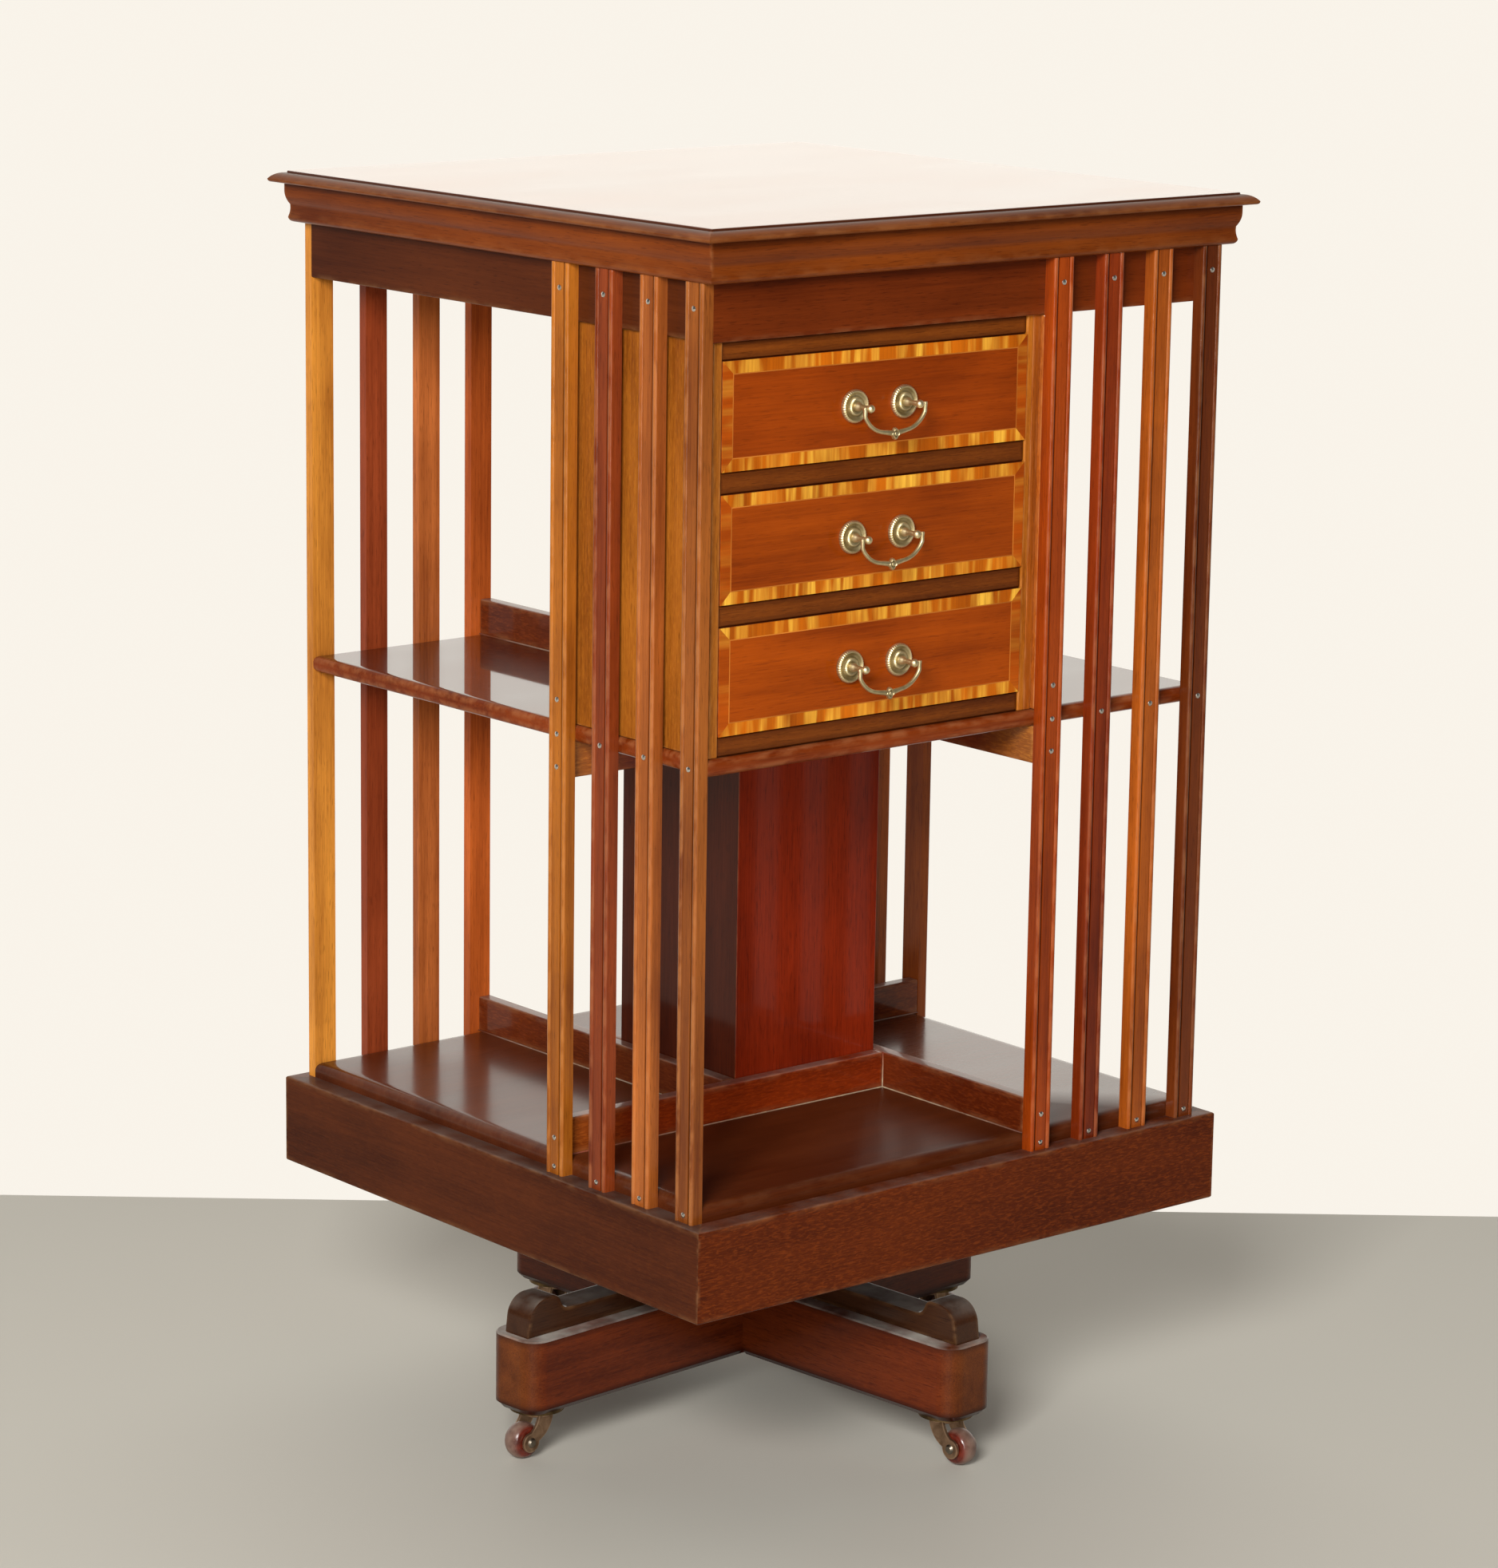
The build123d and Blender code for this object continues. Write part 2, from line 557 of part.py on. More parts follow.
def handle_post(ball_height):
    """One rose with its post, ball end and threaded shank, pointing up from the face at Z = 0."""
    rose = ROSE_DIAMETER / 2
    boss = BOSS_DIAMETER / 2
    bulb = BULB_DIAMETER / 2
    stem = STEM_DIAMETER / 2
    ball = BALL_DIAMETER / 2
    shank = SHANK_DIAMETER / 2
    shank_end = -(DRAWER_FRONT_THICKNESS + NUT_THICKNESS + SHANK_SPARE)
    outline = Polyline(
        (0, shank_end),
        (shank, shank_end),
        (shank, 0),
        (rose, 0),
        (rose, ROSE_RIM - ROSE_RIM_WIDTH / 2),
        (rose - ROSE_RIM_WIDTH / 2, ROSE_RIM),
        (rose - ROSE_RIM_WIDTH, ROSE_RIM - ROSE_RIM_WIDTH / 2),
        (boss, ROSE_SINK),
        (BOSS_FACE_DIAMETER / 2, BOSS_HEIGHT),
        (bulb, BOSS_HEIGHT),
        (stem, BULB_HEIGHT),
        (stem, ball_height - ball),
        (ball, ball_height - ball / 2),
        (ball, ball_height + ball / 2),
        (ball / 2, ball_height + ball),
        (0, ball_height + ball),
        close=True,
    )
    hole = rod(BAIL_PIN_DIAMETER + 2 * RUNNING_FIT, -ROSE_DIAMETER, ROSE_DIAMETER)
    return turned(outline) - Pos(0, 0, ball_height) * Rot(0, 90, 0) * hole


def handle_nut():
    """Square nut on the shank, against the back of the drawer front."""
    nut = Box(NUT_WIDTH, NUT_WIDTH, NUT_THICKNESS)
    nut -= Cylinder(SHANK_DIAMETER / 2 + HELD_FIT, NUT_THICKNESS)
    return Pos(0, 0, -DRAWER_FRONT_THICKNESS - NUT_THICKNESS / 2) * nut


def handle_bail():
    """Drop bail hanging from its two pins, with the pivot axis along X through the origin."""
    leg = HANDLE_CENTRES / 2 + BALL_DIAMETER / 2 + BAIL_SIDE_GAP + BAIL_DIAMETER / 2
    path = Line((0, -BAIL_DROP), (BAIL_SHOULDER, -BAIL_DROP + BAIL_SHOULDER_RISE))
    path += TangentArc(path @ 1, (leg, -BAIL_LEG), tangent=path % 1)
    path += Line((leg, -BAIL_LEG), (leg, BAIL_DIAMETER / 2))
    upright = Plane.XZ * path
    wire_section = RegularPolygon(BAIL_DIAMETER / 2, BAIL_FACETS)
    wire = sweep(Plane(upright @ 0, z_dir=(1, 0, 0)) * wire_section, upright)
    pin_end = HANDLE_CENTRES / 2 - BALL_DIAMETER / 2
    pin = Rot(0, 90, 0) * rod(BAIL_PIN_DIAMETER, pin_end, leg)
    side = wire + pin
    flower = Pos(0, 0, -BAIL_DROP) * Rot(90, 0, 0) * Cylinder(
        BAIL_FLOWER_DIAMETER / 2, BAIL_FLOWER_THICKNESS
    )
    return side + mirror(side, about=Plane.YZ) + flower


# Base, turned a little against the case
cross_turn = Rot(0, 0, BASE_TURN)
lap_level = CASTOR_HEIGHT + BEAM_HEIGHT / 2
save("base_beam_left_right", cross_turn * base_beam(lap_level, BEAM_TOP))
save("base_beam_front_back", cross_turn * quarter(base_beam(CASTOR_HEIGHT, lap_level), 1))
save("spindle_post", cross_turn * spindle_post())
save("pivot_pin", cross_turn * pivot_pin())
swivel_reach = BEAM_LENGTH / 2 - CASTOR_INSET
arm_turns = [cross_turn * Rot(0, 0, angle) for angle in (180, 270, 0, 90)]
save("castor_plates", *[turn * Pos(swivel_reach, 0, 0) * castor_plate() for turn in arm_turns])
for arm, turn in zip(ARM_NAMES, arm_turns):
    save(f"chock_{arm}", turn * chock())
    save(f"castor_fork_{arm}", turn * Pos(swivel_reach, 0, 0) * castor_fork())
    save(f"castor_axle_{arm}", turn * Pos(swivel_reach, 0, 0) * castor_axle())
    save(f"castor_wheel_{arm}", turn * Pos(swivel_reach, 0, 0) * castor_wheel())

# Case
save("bearing_collar", bearing_collar())
save("pivot_cup", pivot_cup())
save("bottom_board", bottom_board())
save("middle_shelf", middle_shelf())
save("top_board", top_board())
save("cornice", *[quarter(cornice_side(), turns) for turns in range(4)])
save("frieze", *[quarter(frieze_side(), turns) for turns in range(4)])
save("column", *[quarter(column_side(), turns) for turns in range(4)])
for turns, face in enumerate(FACE_NAMES):
    save(f"apron_{face}", quarter(apron_side(), turns))
    save(f"slats_{face}", *[quarter(slat, turns) for slat in slats()])

# Book stops. At the front the drawer case takes the place of the upper stop, and the stop at its
# right is carried up to the frieze, as the outer wall of the drawer case.
hanging_stop = stop(SHELF_BOTTOM - STOP_HEIGHT, hanging=True)
save("lower_stops", *[quarter(stop(BOARD_TOP), turns) for turns in range(4)])
save("hanging_stops", *[quarter(hanging_stop, turns) for turns in range(4)])
case_height = (SHELF_TOP, FRIEZE_BOTTOM)
wall_thickness = (-COLUMN_HALF - STOP_THICKNESS, -COLUMN_HALF)
wall = block((-BOARD_HALF, COLUMN_HALF), wall_thickness, case_height)
upper_stops = [quarter(stop(SHELF_TOP), turns) for turns in (2, 3)]
save("upper_stops", quarter(wall, 1), *upper_stops)

# Drawer case
case_front = -(BOARD_HALF - CARCASS_SETBACK)
case_back = -COLUMN_HALF
opening_left = case_front + LEFT_SIDE_THICKNESS
opening_right = COLUMN_HALF - RIGHT_SIDE_THICKNESS
opening_width = (opening_left, opening_right)
panel_back = (case_back - CARCASS_BACK_THICKNESS, case_back)
case_depth = (case_front, case_back)
save("drawer_case_left_side", block((case_front, opening_left), case_depth, case_height))
save("drawer_case_right_side", block((opening_right, COLUMN_HALF), case_depth, case_height))
save("drawer_case_back", block(opening_width, panel_back, case_height))

rail_front = case_front + RAIL_SETBACK
rail_y = (rail_front, rail_front + RAIL_DEPTH)
runner_y = (rail_y[1], panel_back[0])
all_rails = TOP_RAIL_HEIGHT + BOTTOM_RAIL_HEIGHT + RAIL_HEIGHT * (DRAWER_COUNT - 1)
opening_height = (FRIEZE_BOTTOM - SHELF_TOP - all_rails) / DRAWER_COUNT
rails = [block(opening_width, rail_y, (FRIEZE_BOTTOM - TOP_RAIL_HEIGHT, FRIEZE_BOTTOM))]
runners = []
floors = []
rail_low = SHELF_TOP
rail_high = SHELF_TOP + BOTTOM_RAIL_HEIGHT
for level in range(DRAWER_COUNT):
    rails.append(block(opening_width, rail_y, (rail_low, rail_high)))
    for runner_x in (
        (opening_left, opening_left + RUNNER_WIDTH),
        (opening_right - RUNNER_WIDTH, opening_right),
    ):
        runners.append(block(runner_x, runner_y, (rail_low, rail_high)))
    floors.append(rail_high)
    rail_low = rail_high + opening_height
    rail_high = rail_low + RAIL_HEIGHT
save("drawer_rails", *rails)
save("drawer_runners", *runners)

# Drawers, numbered from the top
front_x = (opening_left + DRAWER_GAP, opening_right - DRAWER_GAP)
front_y = (case_front - DRAWER_PROUD, case_front - DRAWER_PROUD + DRAWER_FRONT_THICKNESS)
box_end = panel_back[0] - DRAWER_END_GAP
back_y = (box_end - DRAWER_BACK_THICKNESS, box_end)
inside_x = (front_x[0] + DRAWER_SIDE_THICKNESS, front_x[1] - DRAWER_SIDE_THICKNESS)
handle_x = (front_x[0] + front_x[1]) / 2
for number, floor in enumerate(reversed(floors), start=1):
    low = floor + DRAWER_LIFT
    high = floor + opening_height - DRAWER_LIFT
    bottom_z = (low + DRAWER_BOTTOM_LIFT, low + DRAWER_BOTTOM_LIFT + DRAWER_BOTTOM_THICKNESS)
    side_z = (low, high - DRAWER_SIDE_DROP)
    back_z = (bottom_z[1], side_z[1] - DRAWER_BACK_DROP)
    side_y = (front_y[1], box_end)
    left = block((front_x[0], inside_x[0]), side_y, side_z)
    right = block((inside_x[1], front_x[1]), side_y, side_z)
    back = block(inside_x, back_y, back_z)
    bottom = block(inside_x, side_y, bottom_z)
    on_face = Pos(handle_x, front_y[0], (low + high) / 2 - HANDLE_DROP) * Rot(90, 0, 0)
    sides = (Pos(-HANDLE_CENTRES / 2, 0, 0), Pos(HANDLE_CENTRES / 2, 0, 0))
    front = block(front_x, front_y, (low, high))
    for side in sides:
        front -= on_face * side * rod(SHANK_DIAMETER + 2 * HELD_FIT, -DRAWER_FRONT_THICKNESS, 0)
    save(f"drawer_{number}_front", front)
    save(f"drawer_{number}_box", left, right, back)
    save(f"drawer_{number}_bottom", bottom)
    posts = [on_face * side * handle_post(BALL_REACH) for side in sides]
    nuts = [on_face * side * handle_nut() for side in sides]
    save(f"handle_{number}_posts", *posts, *nuts)
    pivot = Pos(handle_x, front_y[0] - BALL_REACH, (low + high) / 2 - HANDLE_DROP)
    save(f"handle_{number}_bail", pivot * handle_bail())
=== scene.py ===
import math

import bmesh
import bpy
import numpy as np
from mathutils import Matrix


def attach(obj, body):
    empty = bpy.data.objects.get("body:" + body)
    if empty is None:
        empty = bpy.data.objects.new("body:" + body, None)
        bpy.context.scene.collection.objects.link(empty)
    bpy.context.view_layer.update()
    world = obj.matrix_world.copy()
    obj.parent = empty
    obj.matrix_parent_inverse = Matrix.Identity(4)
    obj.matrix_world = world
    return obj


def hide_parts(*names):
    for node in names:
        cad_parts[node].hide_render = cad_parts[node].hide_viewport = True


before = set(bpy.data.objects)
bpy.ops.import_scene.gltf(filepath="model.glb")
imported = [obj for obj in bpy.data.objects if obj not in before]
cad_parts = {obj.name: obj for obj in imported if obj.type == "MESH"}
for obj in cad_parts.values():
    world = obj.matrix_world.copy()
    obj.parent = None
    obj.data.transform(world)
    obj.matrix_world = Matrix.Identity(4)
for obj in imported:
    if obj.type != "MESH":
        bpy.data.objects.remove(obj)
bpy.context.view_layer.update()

# Base cross: two heavy mahogany beams, half-lapped under the post and planed to a round at each end.
# The lower edges are chamfered; the chamfers and the foot are painted dark as the shade under the
# beam, and the upper edges are darker too. Pale dust lies on the ledges beside the humped rails, laid
# thick and pale so that it also stands in for their sheen (painted reflection).
MM = 0.001
BASE_TURN = 5.0
ARM_ANGLES = {"left": 180.0, "front": 270.0, "right": 0.0, "back": 90.0}
BEAM_HALF_LENGTH = 224.0
BEAM_HALF_WIDTH = 23.0
BEAM_BOTTOM = 35.5
BEAM_TOP = 89.0
BEAM_END_RADIUS = 14.0
BEAM_MIDWAY = 120.0
BEAM_CHAMFER = 4.0
BEAM_EASE = 1.0
BEAM_TONE = (102, 40, 12)
BEAM_END_TONE = (96, 46, 13)
BEAM_END_FADE = 12.0
SMOOTH_ANGLE = 35.0
# Dust colour, pale enough to stand in for the sheen on the base's ledges as well (painted reflection).
DUST_AND_SHEEN_COLOUR = (0.52, 0.50, 0.45, 1.0)
FINE_RELIEF = 0.0002
WOOD_SPECULAR = 0.05


def stain(tone):
    """A tone written as 0 to 255 display values, as a linear colour for a shader with 1 as its alpha."""
    value = np.array(tone) / 255.0
    return np.append(np.where(value <= 0.04045, value / 12.92, ((value + 0.055) / 1.055) ** 2.4), 1.0)


def loft(rings, closed=False):
    """Skin through rings of equal point count: four-sided faces between neighbouring rings.
    An open run is closed by one flat face at each end, a closed one joins its last ring to its first."""
    rings = np.asarray(rings, dtype=float)
    count, points = rings.shape[:2]
    index = np.arange(count * points).reshape(count, points)
    first = index if closed else index[:-1]
    second = np.roll(index, -1, axis=0) if closed else index[1:]
    sides = np.stack([first, np.roll(first, -1, axis=1), np.roll(second, -1, axis=1), second], axis=-1)
    faces = sides.reshape(-1, 4).tolist()
    if not closed:
        faces += [index[0].tolist(), index[-1].tolist()]
    return rings.reshape(-1, 3), faces


def wood_part(shape, along, tone, seed, wear=0.0):
    """A wooden part in millimetres. Its grain runs along one axis from a random start, so no two
    boards show the same figure; its tone becomes a stain, with the share of polish as its alpha, and
    wear is 1 where the wood is rubbed pale, in places also a painted glint, and below 0 it darkens the
    wood for grime, in places for painted shade."""
    points, faces = shape
    across = [axis for axis in range(3) if axis != along]
    start = np.random.default_rng(seed).uniform(0.0, 3000.0, 3)
    count = len(points)
    return {
        "points": points,
        "faces": faces,
        "grain": (points[:, [along] + across] + start) * MM,
        "tone": np.tile(stain(tone), (count, 1)),
        "wear": np.broadcast_to(np.asarray(wear, dtype=float).ravel(), count),
    }


def turn(part, degrees):
    """The same part turned about the upright axis, with its grain."""
    angle = math.radians(degrees)
    cosine = math.cos(angle)
    sine = math.sin(angle)
    spin = np.array([[cosine, -sine, 0], [sine, cosine, 0], [0, 0, 1]])
    return {**part, "points": part["points"] @ spin.T}


def move(part, x, y, z):
    """The same part moved by millimetres, with its grain."""
    return {**part, "points": part["points"] + np.array([x, y, z])}


def skin_mesh(name, parts):
    """One mesh from parts in millimetres, with their fields as vertex attributes, faces turned
    outward and soft shading up to a smooth angle."""
    points = np.concatenate([part["points"] for part in parts]) * MM
    starts = np.cumsum([0] + [len(part["points"]) for part in parts])
    faces = [
        [corner + start for corner in face] for part, start in zip(parts, starts) for face in part["faces"]
    ]
    mesh = bpy.data.meshes.new(name)
    mesh.from_pydata(points.tolist(), [], faces)
    for field, kind, socket in (
        ("grain", "FLOAT_VECTOR", "vector"), ("tone", "FLOAT_COLOR", "color"), ("wear", "FLOAT", "value")
    ):
        if field in parts[0]:
            layer = mesh.attributes.new(field, kind, "POINT")
            values = np.concatenate([part[field] for part in parts])
            layer.data.foreach_set(socket, values.astype(np.float32).ravel())
    skin = bmesh.new()
    skin.from_mesh(mesh)
    bmesh.ops.recalc_face_normals(skin, faces=skin.faces)
    skin.to_mesh(mesh)
    skin.free()
    mesh.shade_smooth()
    mesh.set_sharp_from_angle(angle=math.radians(SMOOTH_ANGLE))
    return mesh


def make_piece(name, parts, material, body, nodes):
    """One object from parts in millimetres, riding on its body in place of the CAD nodes."""
    mesh = skin_mesh(name, parts)
    mesh.materials.append(material)
    piece = bpy.data.objects.new(name, mesh)
    bpy.context.scene.collection.objects.link(piece)
    weighted = piece.modifiers.new("weighted normals", "WEIGHTED_NORMAL")
    weighted.keep_sharp = True
    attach(piece, body)
    if nodes:
        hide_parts(*nodes)


def add_node(tree, kind, inputs, **settings):
    """A shader node. Each input is a number, a colour or another node's output."""
    node = tree.nodes.new(kind)
    for name, value in settings.items():
        setattr(node, name, value)
    for name, value in inputs.items():
        if isinstance(value, bpy.types.NodeSocket):
            tree.links.new(value, node.inputs[name])
        else:
            node.inputs[name].default_value = value
    return node


def calculate(tree, operation, first, second):
    """Output of a maths node."""
    return add_node(tree, "ShaderNodeMath", {0: first, 1: second}, operation=operation).outputs[0]


def blend(tree, factor, first, second, mode="MIX"):
    """Colour output of a mix node."""
    inputs = {0: factor, 6: first, 7: second}
    return add_node(tree, "ShaderNodeMix", inputs, data_type="RGBA", blend_type=mode).outputs[2]


def rescale(tree, value, low, high, to_low=0.0, to_high=1.0):
    """A value taken from one range to another, kept inside it."""
    inputs = {"Value": value, "From Min": low, "From Max": high, "To Min": to_low, "To Max": to_high}
    return add_node(tree, "ShaderNodeMapRange", inputs).outputs[0]


def noise(tree, vector, stretch, detail, distortion=0.0):
    """Noise value 0 to 1 on a vector stretched by so many waves to the metre along each axis."""
    mapped = add_node(tree, "ShaderNodeVectorMath", {0: vector, 1: stretch}, operation="MULTIPLY")
    inputs = {"Vector": mapped.outputs[0], "Scale": 1.0, "Detail": detail, "Distortion": distortion}
    return add_node(tree, "ShaderNodeTexNoise", inputs).outputs[0]


def new_group(name, inputs, outputs):
    """An empty shader node group with its sockets, and its input and output nodes."""
    group = bpy.data.node_groups.new(name, "ShaderNodeTree")
    for socket, kind in inputs.items():
        group.interface.new_socket(socket, in_out="INPUT", socket_type=kind)
    for socket, kind in outputs.items():
        group.interface.new_socket(socket, in_out="OUTPUT", socket_type=kind)
    return group, group.nodes.new("NodeGroupInput").outputs, group.nodes.new("NodeGroupOutput").inputs


def make_wood_figure():
    """Polished mahogany: ribbon stripe, cloudy stain, fine fibre, short bright flecks, dark pores
    drawn out along the grain. Wear above 0 is pale wood where the polish is rubbed off an edge, and in
    places it is also painted light: a painted glint on beads and corners, and light painted into hollows.
    Wear below 0 darkens the wood: old wax and grime in a corner, and in places painted shade."""
    group, given, result = new_group(
        "wood figure",
        {"Grain": "NodeSocketVector", "Tone": "NodeSocketColor", "Wear": "NodeSocketFloat",
         "Ribbon": "NodeSocketFloat", "Fibre": "NodeSocketFloat", "Fleck": "NodeSocketFloat",
         "Pores": "NodeSocketFloat"},
        {"Color": "NodeSocketColor", "Roughness": "NodeSocketFloat", "Height": "NodeSocketFloat"},
    )
    grain = given["Grain"]
    ribbon = noise(group, grain, (2.4, 70.0, 70.0), 2.0, 0.5)
    cloud = noise(group, grain, (7.0, 16.0, 16.0), 3.0, 0.3)
    fibre = noise(group, grain, (22.0, 800.0, 800.0), 3.0)
    pore_noise = noise(group, grain, (95.0, 1500.0, 1500.0), 1.0)
    pores = calculate(group, "MULTIPLY", rescale(group, pore_noise, 0.60, 0.70), given["Pores"])
    stripe = calculate(group, "MULTIPLY", calculate(group, "SUBTRACT", ribbon, 0.5), given["Ribbon"])
    mottle = calculate(group, "MULTIPLY", calculate(group, "SUBTRACT", cloud, 0.5), 1.3)
    streak = calculate(group, "MULTIPLY", calculate(group, "SUBTRACT", fibre, 0.5), given["Fibre"])
    sum_of_two = calculate(group, "ADD", stripe, mottle)
    light = rescale(group, calculate(group, "ADD", sum_of_two, streak), -0.5, 0.5)
    dark_tone = blend(group, 1.0, given["Tone"], (0.50, 0.38, 0.32, 1.0), "MULTIPLY")
    light_tone = blend(group, 1.0, given["Tone"], (1.50, 1.56, 1.40, 1.0), "MULTIPLY")
    colour = blend(group, light, dark_tone, light_tone)
    fleck_noise = noise(group, grain, (170.0, 760.0, 760.0), 2.0, 0.8)
    flecks = calculate(group, "MULTIPLY", rescale(group, fleck_noise, 0.46, 0.68), given["Fleck"])
    fleck_tone = blend(group, 1.0, given["Tone"], (2.6, 3.2, 2.6, 1.0), "MULTIPLY")
    colour = blend(group, flecks, colour, fleck_tone)
    pore_tone = blend(group, 1.0, given["Tone"], (0.22, 0.16, 0.14, 1.0), "MULTIPLY")
    colour = blend(group, pores, colour, pore_tone)
    patchy = rescale(group, noise(group, grain, (60.0, 160.0, 160.0), 3.0), 0.40, 0.62)
    rubbed = calculate(group, "MULTIPLY", rescale(group, given["Wear"], 0.0, 1.0), patchy)
    rubbed_tone = blend(group, 0.30, light_tone, (0.42, 0.23, 0.10, 1.0))
    colour = blend(group, calculate(group, "MULTIPLY", rubbed, 0.8), colour, rubbed_tone)
    # Wear below 0 turns the wood to the pore tone: grime, and painted shade on the beam's lower chamfer,
    # the slats' quirks, the top's step and under the lip.
    grime_and_painted_shade = rescale(group, given["Wear"], 0.0, -1.0)
    result_colour = blend(group, grime_and_painted_shade, colour, pore_tone)
    roughness = rescale(group, cloud, 0.25, 0.75, 0.30, 0.46)
    roughness = calculate(group, "ADD", roughness, calculate(group, "MULTIPLY", rubbed, 0.15))
    height = calculate(group, "SUBTRACT", calculate(group, "MULTIPLY", fibre, 0.25), pores)
    group.links.new(result_colour, result["Color"])
    group.links.new(roughness, result["Roughness"])
    group.links.new(height, result["Height"])
    return group


def make_dust_film():
    """Mask of dust: it settles in patches on faces that look up."""
    group, given, result = new_group(
        "dust film",
        {"Place": "NodeSocketVector", "Amount": "NodeSocketFloat"},
        {"Mask": "NodeSocketFloat"},
    )
    normal = add_node(group, "ShaderNodeNewGeometry", {}).outputs["Normal"]
    upward = add_node(group, "ShaderNodeSeparateXYZ", {0: normal}).outputs["Z"]
    facing = rescale(group, upward, 0.35, 0.95)
    patches = rescale(group, noise(group, given["Place"], (38.0, 38.0, 38.0), 4.0), 0.30, 0.70)
    mask = calculate(group, "MULTIPLY", calculate(group, "MULTIPLY", facing, patches), given["Amount"])
    group.links.new(mask, result["Mask"])
    return group


WOOD_FIGURE = make_wood_figure()
DUST_FILM = make_dust_film()


def new_material(name):
    """A new material, with its node tree and its shader."""
    material = bpy.data.materials.new(name)
    material.use_nodes = True
    return material, material.node_tree, material.node_tree.nodes["Principled BSDF"]


def part_field(tree, name):
    """Outputs of a node that reads one of the part's own fields."""
    return add_node(tree, "ShaderNodeAttribute", {}, attribute_name=name).outputs


def object_place(tree):
    """Output of a node that reads the place on the object."""
    return add_node(tree, "ShaderNodeTexCoord", {}).outputs["Object"]


def wood_figure(tree, grain, tone, wear, ribbon, fibre, fleck, pores):
    """Outputs of the wood figure, placed in a material with that material's own values."""
    given = {
        "Grain": grain, "Tone": tone, "Wear": wear, "Ribbon": ribbon, "Fibre": fibre, "Fleck": fleck,
        "Pores": pores,
    }
    return add_node(tree, "ShaderNodeGroup", given, node_tree=WOOD_FIGURE).outputs


def link_surface(tree, shader, colour, roughness, height, strength, depth=FINE_RELIEF):
    """Gives a shader its colour and roughness, and its relief through a bump node."""
    bump = add_node(tree, "ShaderNodeBump", {"Height": height, "Strength": strength, "Distance": depth})
    tree.links.new(colour, shader.inputs["Base Color"])
    tree.links.new(roughness, shader.inputs["Roughness"])
    tree.links.new(bump.outputs[0], shader.inputs["Normal"])


def wood_material(
    name, ribbon, pores, coat, coat_roughness, dust=0.0, fibre=0.9, fleck=0.0, uneven_polish=False
):
    """Polished wood that reads each part's own grain, tone and wear, with dust on upward faces; on the
    base the pale dust also stands in for a sheen, as painted reflection. Dust lowers the coat of
    polish, and so does the part's own share of polish where that is uneven."""
    material, tree, shader = new_material(name)
    grain = part_field(tree, "grain")["Vector"]
    tone = part_field(tree, "tone")
    wear = part_field(tree, "wear")["Fac"]
    figure = wood_figure(tree, grain, tone["Color"], wear, ribbon, fibre, fleck, pores)
    colour = figure["Color"]
    shader.inputs["Coat Weight"].default_value = coat
    if dust:
        film = add_node(tree, "ShaderNodeGroup", {"Place": grain, "Amount": dust}, node_tree=DUST_FILM)
        mask = film.outputs["Mask"]
        colour = blend(tree, mask, colour, DUST_AND_SHEEN_COLOUR)
        clear = calculate(tree, "SUBTRACT", 1.0, mask)
        tree.links.new(calculate(tree, "MULTIPLY", clear, coat), shader.inputs["Coat Weight"])
    if uneven_polish:
        tree.links.new(calculate(tree, "MULTIPLY", tone["Alpha"], coat), shader.inputs["Coat Weight"])
    link_surface(tree, shader, colour, figure["Roughness"], figure["Height"], 0.25)
    shader.inputs["Coat Roughness"].default_value = coat_roughness
    shader.inputs["Specular IOR Level"].default_value = WOOD_SPECULAR
    return material


def end_strips(start, half):
    """Faces that close a ring of two like halves by strips from side to side."""
    last = start + 2 * half - 1
    return [[start + i, start + i + 1, last - i - 1, last - i] for i in range(half - 1)]


def beam_shape(lap_drops_top):
    """Beam along X: sections stepped along it, narrowing round the ends; between the shoulders of
    the lap the section is pressed to half its height, towards the bottom or towards the top. Each
    end is closed by strips from side to side, so the dark along its edges, painted shade on the lower
    chamfer, stays level."""
    corner = BEAM_HALF_LENGTH - BEAM_END_RADIUS
    sweep = corner + BEAM_END_RADIUS * np.sin(np.linspace(0.0, math.pi / 2, 9))
    half = np.concatenate([[BEAM_HALF_WIDTH, BEAM_HALF_WIDTH, BEAM_MIDWAY], sweep])
    x = np.concatenate([-half[::-1], half])
    reach = np.clip(np.abs(x) - corner, 0.0, None)
    core = BEAM_HALF_WIDTH - BEAM_END_RADIUS

    def width_at(inset):
        radius = BEAM_END_RADIUS - inset
        return core + np.sqrt(np.clip(radius**2 - np.minimum(reach, radius) ** 2, 0.0, None))

    side, foot, crown = width_at(0.0), width_at(BEAM_CHAMFER), width_at(BEAM_EASE)
    low = BEAM_BOTTOM + np.clip(reach - BEAM_END_RADIUS + BEAM_CHAMFER, 0.0, None)
    high = BEAM_TOP - np.clip(reach - BEAM_END_RADIUS + BEAM_EASE, 0.0, None)
    flat = np.ones_like(x)
    right = [
        (foot, low), (side, flat * (BEAM_BOTTOM + BEAM_CHAMFER)),
        (side, flat * (BEAM_BOTTOM + 2 * BEAM_CHAMFER)), (side, flat * (BEAM_TOP - 6 * BEAM_EASE)),
        (side, flat * (BEAM_TOP - BEAM_EASE)), (crown, high), (crown - 5 * BEAM_EASE, high),
    ]
    left = [(-y, z) for y, z in reversed(right)]
    rings = np.stack([np.stack([x, y, z], axis=1) for y, z in right + left], axis=1)
    middle = np.arange(len(half) - 1, len(half) + 1)
    anchor = BEAM_BOTTOM if lap_drops_top else BEAM_TOP
    rings[middle, :, 2] = anchor + (rings[middle, :, 2] - anchor) / 2
    # Wear round the section, from the foot up: foot and chamfer painted dark as shade under the beam, the
    # sides a little darker low down, the upper edge and crown darker.
    rub = np.array([-1.0, -1.0, -0.2, -0.1, -0.7, -0.4, 0.0])
    points, faces = loft(rings)
    ends = end_strips(0, len(right)) + end_strips(len(points) - 2 * len(right), len(right))
    return (points, faces[:-2] + ends), np.tile(np.concatenate([rub, rub[::-1]]), len(x))
